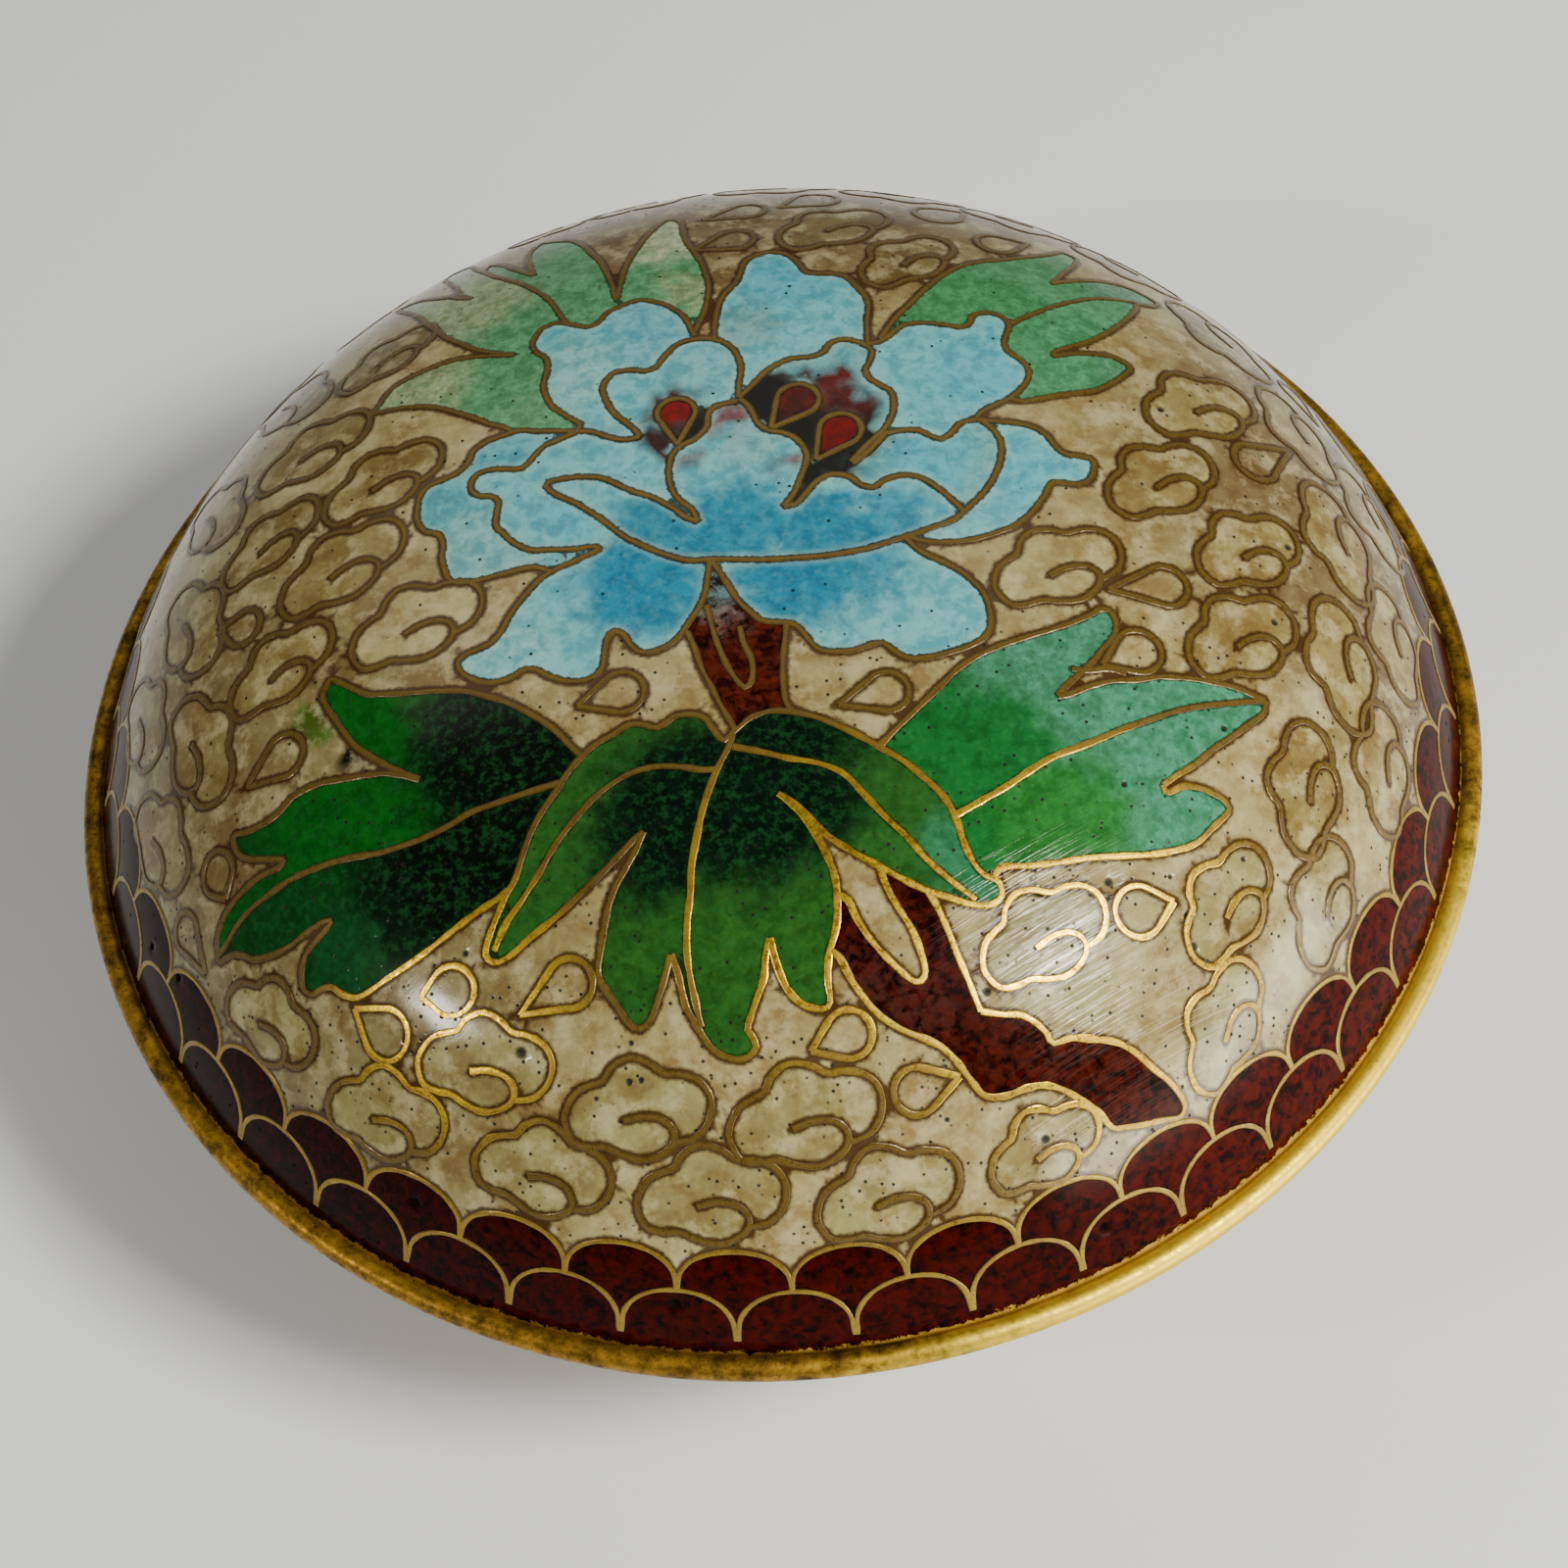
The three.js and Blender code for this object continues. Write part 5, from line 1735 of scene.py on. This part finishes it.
@dataclass
class Lid:
    """The lift-off lid: an enamelled dome with a gilt bead round its edge."""

    wall: float = 1.6
    lean: float = 3.3
    bow: float = 2.983
    crook: float = 4.31
    bead: float = 0.65
    cover_angle: float = 134.0
    edge_inner: float = 35.189
    band: ScaleBand = field(default_factory=ScaleBand)

    def shell(self) -> EnamelShell:
        """Lays out the dome's wall and drawing."""
        radius, low, high = span("lid_dome")
        form = TurnedForm(radius, low, high - low, 0.0, self.lean, self.bow, self.crook)
        # The ground's first three washes are painted shade: darker brown towards the left front, the right
        # and the back edge.
        ground = Patch((0.0, 0.0), Glaze.GROUND, GROUND_CREAM, (
            Wash((-30.0, -16.0), 26.0, "#786e4a", 0.9), Wash((36.0, 2.0), 20.0, "#605038", 0.8),
            Wash((4.0, 34.0), 24.0, "#66563a", 0.9), Wash((-23.2, -6.6), 1.5, "#3c6418", 0.9),
            Wash((-20.9, -9.3), 1.1, "#0a120a", 1.0)))
        # The scales' washes: painted shade darkens the left side, and a painted lighter red lies on the
        # front right.
        scale = Patch((0.0, 0.0), Glaze.OXBLOOD, SCALE_RED, (
            Wash((-34.0, -20.0), 26.0, "#1e0200", 0.95), Wash((28.0, -26.0), 22.0, "#3e0c04", 0.8)))
        drawing = lid_drawing(form.reach(), self.band)
        return EnamelShell("lid_enamel_dome", form, self.wall, drawing, self.band, ground, scale,
                           front_wear=1.0)

    def build(self) -> list[bpy.types.Object]:
        """Makes the lid's pieces.

        Returns:
            The dome, its wires and its bead.
        """
        shell = self.shell()
        dome = shell.build()
        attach(dome, "root")
        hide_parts("lid_dome")
        wires = shell.wires("lid_wires")
        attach(wires, "root")
        bead = GiltRing("lid_gilt_bead", self.bead_section()).build()
        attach(bead, "root")
        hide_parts("lid_rim")
        return [dome, wires, bead]

    def bead_section(self) -> list[Point]:
        """Gives the bead's section: half-round outside, flat where it seats."""
        outer, low, _ = span("lid_rim")
        middle = (outer - self.bead, low + self.bead)
        return [(self.edge_inner, low), (middle[0], low),
                *arc_points(middle, self.bead, -80, self.cover_angle, 22),
                (self.edge_inner, middle[1] + self.bead * math.sin(math.radians(self.cover_angle)))]


@dataclass
class Base:
    """The bowl: enamelled copper with a gilt mouth ring and foot ring."""

    wall: float = 1.6
    flat_radius: float = 22.1
    lean: float = 2.4
    bow: float = 2.05
    crook: float = 2.7
    mouth_round: float = 0.35
    collar_wall: float = 0.8
    collar_inner: float = 33.409
    collar_round: float = 0.25
    collar_bevel: float = 0.2
    foot_wall: float = 1.7
    foot_flare: float = 0.35
    pattern: BowlPattern = field(default_factory=BowlPattern)
    band: ScaleBand = field(default_factory=lambda: ScaleBand(foot_margin=0.6))

    def shell(self) -> EnamelShell:
        """Lays out the bowl's wall and drawing."""
        radius, low, high = span("base_bowl")
        form = TurnedForm(radius, high, low - high, self.flat_radius, self.lean, self.bow, self.crook)
        ground = Patch((0.0, 0.0), Glaze.GROUND, GROUND_CREAM)
        scale = Patch((0.0, 0.0), Glaze.OXBLOOD, SCALE_RED)
        drawing = self.pattern.drawing(form.reach(), self.band)
        return EnamelShell("base_enamel_bowl", form, self.wall, drawing, self.band, ground, scale,
                           plain_radius=self.pattern.first_line - self.pattern.line_gap)

    def build(self) -> list[bpy.types.Object]:
        """Makes the base's pieces.

        Returns:
            The bowl, its wires, its mouth ring and its foot ring.
        """
        shell = self.shell()
        bowl = shell.build()
        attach(bowl, "root")
        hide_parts("base_bowl")
        wires = shell.wires("base_wires")
        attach(wires, "root")
        mouth = GiltRing("base_gilt_mouth", self.mouth_section()).build()
        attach(mouth, "root")
        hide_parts("base_rim")
        foot = GiltRing("base_gilt_foot", self.foot_section()).build()
        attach(foot, "root")
        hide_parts("foot_ring")
        return [bowl, wires, mouth, foot]

    def mouth_section(self) -> list[Point]:
        """Gives the mouth ring's section: a flange with a rounded edge, and a collar inside the lid."""
        outer, low, high = span("base_rim")
        seat = span("lid_rim")[1]
        inner, bevel = self.collar_inner, self.collar_bevel
        collar = inner + self.collar_wall
        bend, top = self.mouth_round, self.collar_round
        return [(inner, low), (outer - bend, low), *arc_points((outer - bend, low + bend), bend, -75, 0, 5),
                *arc_points((outer - bend, seat - bend), bend, 0, 75, 5), (outer - bend, seat),
                (collar, seat), *arc_points((collar - top, high - top), top, 0, 90, 4),
                (inner + bevel, high), (inner, high - bevel)]

    def foot_section(self) -> list[Point]:
        """Gives the foot ring's section: upright inside, flared a little outside."""
        outer, low, high = span("foot_ring")
        inner = outer - self.foot_wall
        edge = 0.15
        return [(inner, low + edge), (inner + edge, low), (outer - self.foot_flare, low),
                (outer - 0.1, low + 0.12), (outer, low + 0.35), (outer - self.foot_flare / 2, high * 0.55),
                (outer - self.foot_flare, high * 0.8), (outer - self.foot_flare, high), (inner, high)]


@dataclass
class Studio:
    """A pale table top, soft lights that make the lid's highlights, and the camera."""

    floor_half: float = 2.0
    lens: float = 74.87
    elevation: float = 0.9773
    distance: float = 176.19
    aim: Point = (0.1401, -3.4816)
    aim_above_rim: float = 0.65
    roll: float = -0.1195
    surround: float = 0.16
    lamp_colour: tuple[float, float, float] = (1.0, 0.96, 0.82)
    form: TurnedForm | None = None

    def build(self) -> None:
        """Makes the floor, the world, the lights and the camera."""
        self.floor()
        self.world()
        camera = self.camera()
        self.softbox("window_right", camera, spot=(12.4, -24.5), away=420.0, size=(102.0, 78.0), glow=96.0)
        self.softbox("window_left", camera, spot=(-18.2, -23.2), away=420.0, size=(60.0, 45.0), glow=60.0)
        self.free_light("rim_glow", where=(210.0, -153.0, 34.0), size=(240.0, 60.0), glow=14.0)
        self.free_light("back_strip", where=(0.0, 330.0, 60.0), size=(560.0, 60.0), glow=0.3)
        self.free_light("back_sky", where=(-60.0, 440.0, 520.0), size=(700.0, 350.0), glow=0.8)

    def floor(self) -> None:
        """Makes the pale table top."""
        bpy.ops.object.select_all(action="DESELECT")
        bpy.ops.mesh.primitive_plane_add(size=2 * self.floor_half, location=(0, 0, 0))
        floor = bpy.context.object
        floor.name = "table_top"
        made = bpy.data.materials.new("matte_white_paper")
        made.use_nodes = True
        shader = made.node_tree.nodes["Principled BSDF"]
        shader.inputs["Base Color"].default_value = linear("#f0f4fc")
        shader.inputs["Roughness"].default_value = 0.8
        floor.data.materials.append(made)

    def world(self) -> None:
        """Sets an even, dim studio surround."""
        world = bpy.data.worlds.new("studio")
        bpy.context.scene.world = world
        world.use_nodes = True
        back = world.node_tree.nodes["Background"]
        back.inputs["Color"].default_value = linear("#d8d6d0")
        back.inputs["Strength"].default_value = self.surround

    def camera(self) -> bpy.types.Object:
        """Places the camera where the photograph was taken from.

        Returns:
            The camera.
        """
        level = span("lid_rim")[1] + self.aim_above_rim
        back = Vector((0, -math.cos(self.elevation), math.sin(self.elevation)))
        up = Vector((0, math.sin(self.elevation), math.cos(self.elevation)))
        right = Vector((1, 0, 0))
        aim = Vector((self.aim[0], self.aim[1], level))
        where = (aim + back * self.distance) * MM
        across = right * math.cos(self.roll) + up * math.sin(self.roll)
        upward = up * math.cos(self.roll) - right * math.sin(self.roll)
        turn = Matrix((across, upward, back)).transposed().to_4x4()
        data = bpy.data.cameras.new("photo_camera")
        data.lens = self.lens
        data.sensor_width = 36.0
        data.clip_start = 0.01
        camera = bpy.data.objects.new("photo_camera", data)
        bpy.context.scene.collection.objects.link(camera)
        camera.matrix_world = Matrix.Translation(where) @ turn
        bpy.context.scene.camera = camera
        return camera

    def softbox(self, name: str, camera: bpy.types.Object, spot: Point, away: float, size: Point,
                glow: float) -> None:
        """Places a light so that the camera sees it mirrored at one spot of the lid.

        Args:
            name: The light's name.
            camera: The camera.
            spot: The spot in the lid's drawing.
            away: The light's distance from the spot, in millimetres.
            size: The light's width and height, in millimetres.
            glow: How bright the light's face is, in watts per square metre and steradian.
        """
        flat = np.array([spot])
        at = Vector(self.form.place(flat, 0.0)[0]) * MM
        out = Vector(self.form.outward(flat)[0])
        view = (camera.location - at).normalized()
        mirrored = (2 * out.dot(view) * out - view).normalized()
        self.area_light(name, at + mirrored * away * MM, at, size, glow)

    def free_light(self, name: str, where: tuple[float, float, float], size: Point, glow: float) -> None:
        """Places a light at a given place, aimed at the middle of the box.

        Args:
            name: The light's name.
            where: Its place, in millimetres.
            size: Its width and height, in millimetres.
            glow: How bright its face is, as for a softbox.
        """
        aim = Vector((0, 0, span("lid_rim")[2])) * MM
        self.area_light(name, Vector(where) * MM, aim, size, glow)

    def area_light(self, name: str, where: Vector, aim: Vector, size: Point, glow: float) -> None:
        """Adds one rectangular light that faces a point.

        Args:
            name: The light's name.
            where: Its place, in metres.
            aim: The point that it faces.
            size: Its width and height, in millimetres.
            glow: How bright its face is, as for a softbox.
        """
        data = bpy.data.lights.new(name, "AREA")
        data.shape = "RECTANGLE"
        data.size, data.size_y = size[0] * MM, size[1] * MM
        data.energy = glow * math.pi * data.size * data.size_y
        data.color = self.lamp_colour
        light = bpy.data.objects.new(name, data)
        bpy.context.scene.collection.objects.link(light)
        light.location = where
        light.rotation_euler = (aim - where).to_track_quat("-Z", "Y").to_euler()


def main() -> None:
    """Builds the box's sub-assemblies in order, then the studio."""
    logging.basicConfig(level=logging.INFO, format="%(message)s")
    for glaze, finish in FINISHES.items():
        GLAZES[glaze] = finish.material()
    for finish in (WIRE_BRASS, RIM_GILT):
        METALS[finish.name] = finish.material()
    lid = Lid()
    for piece in [*lid.build(), *Base().build()]:
        LOG.info("%s: %d faces", piece.name, len(piece.data.polygons))
    Studio(form=lid.shell().form).build()


if __name__ == "__main__":
    main()
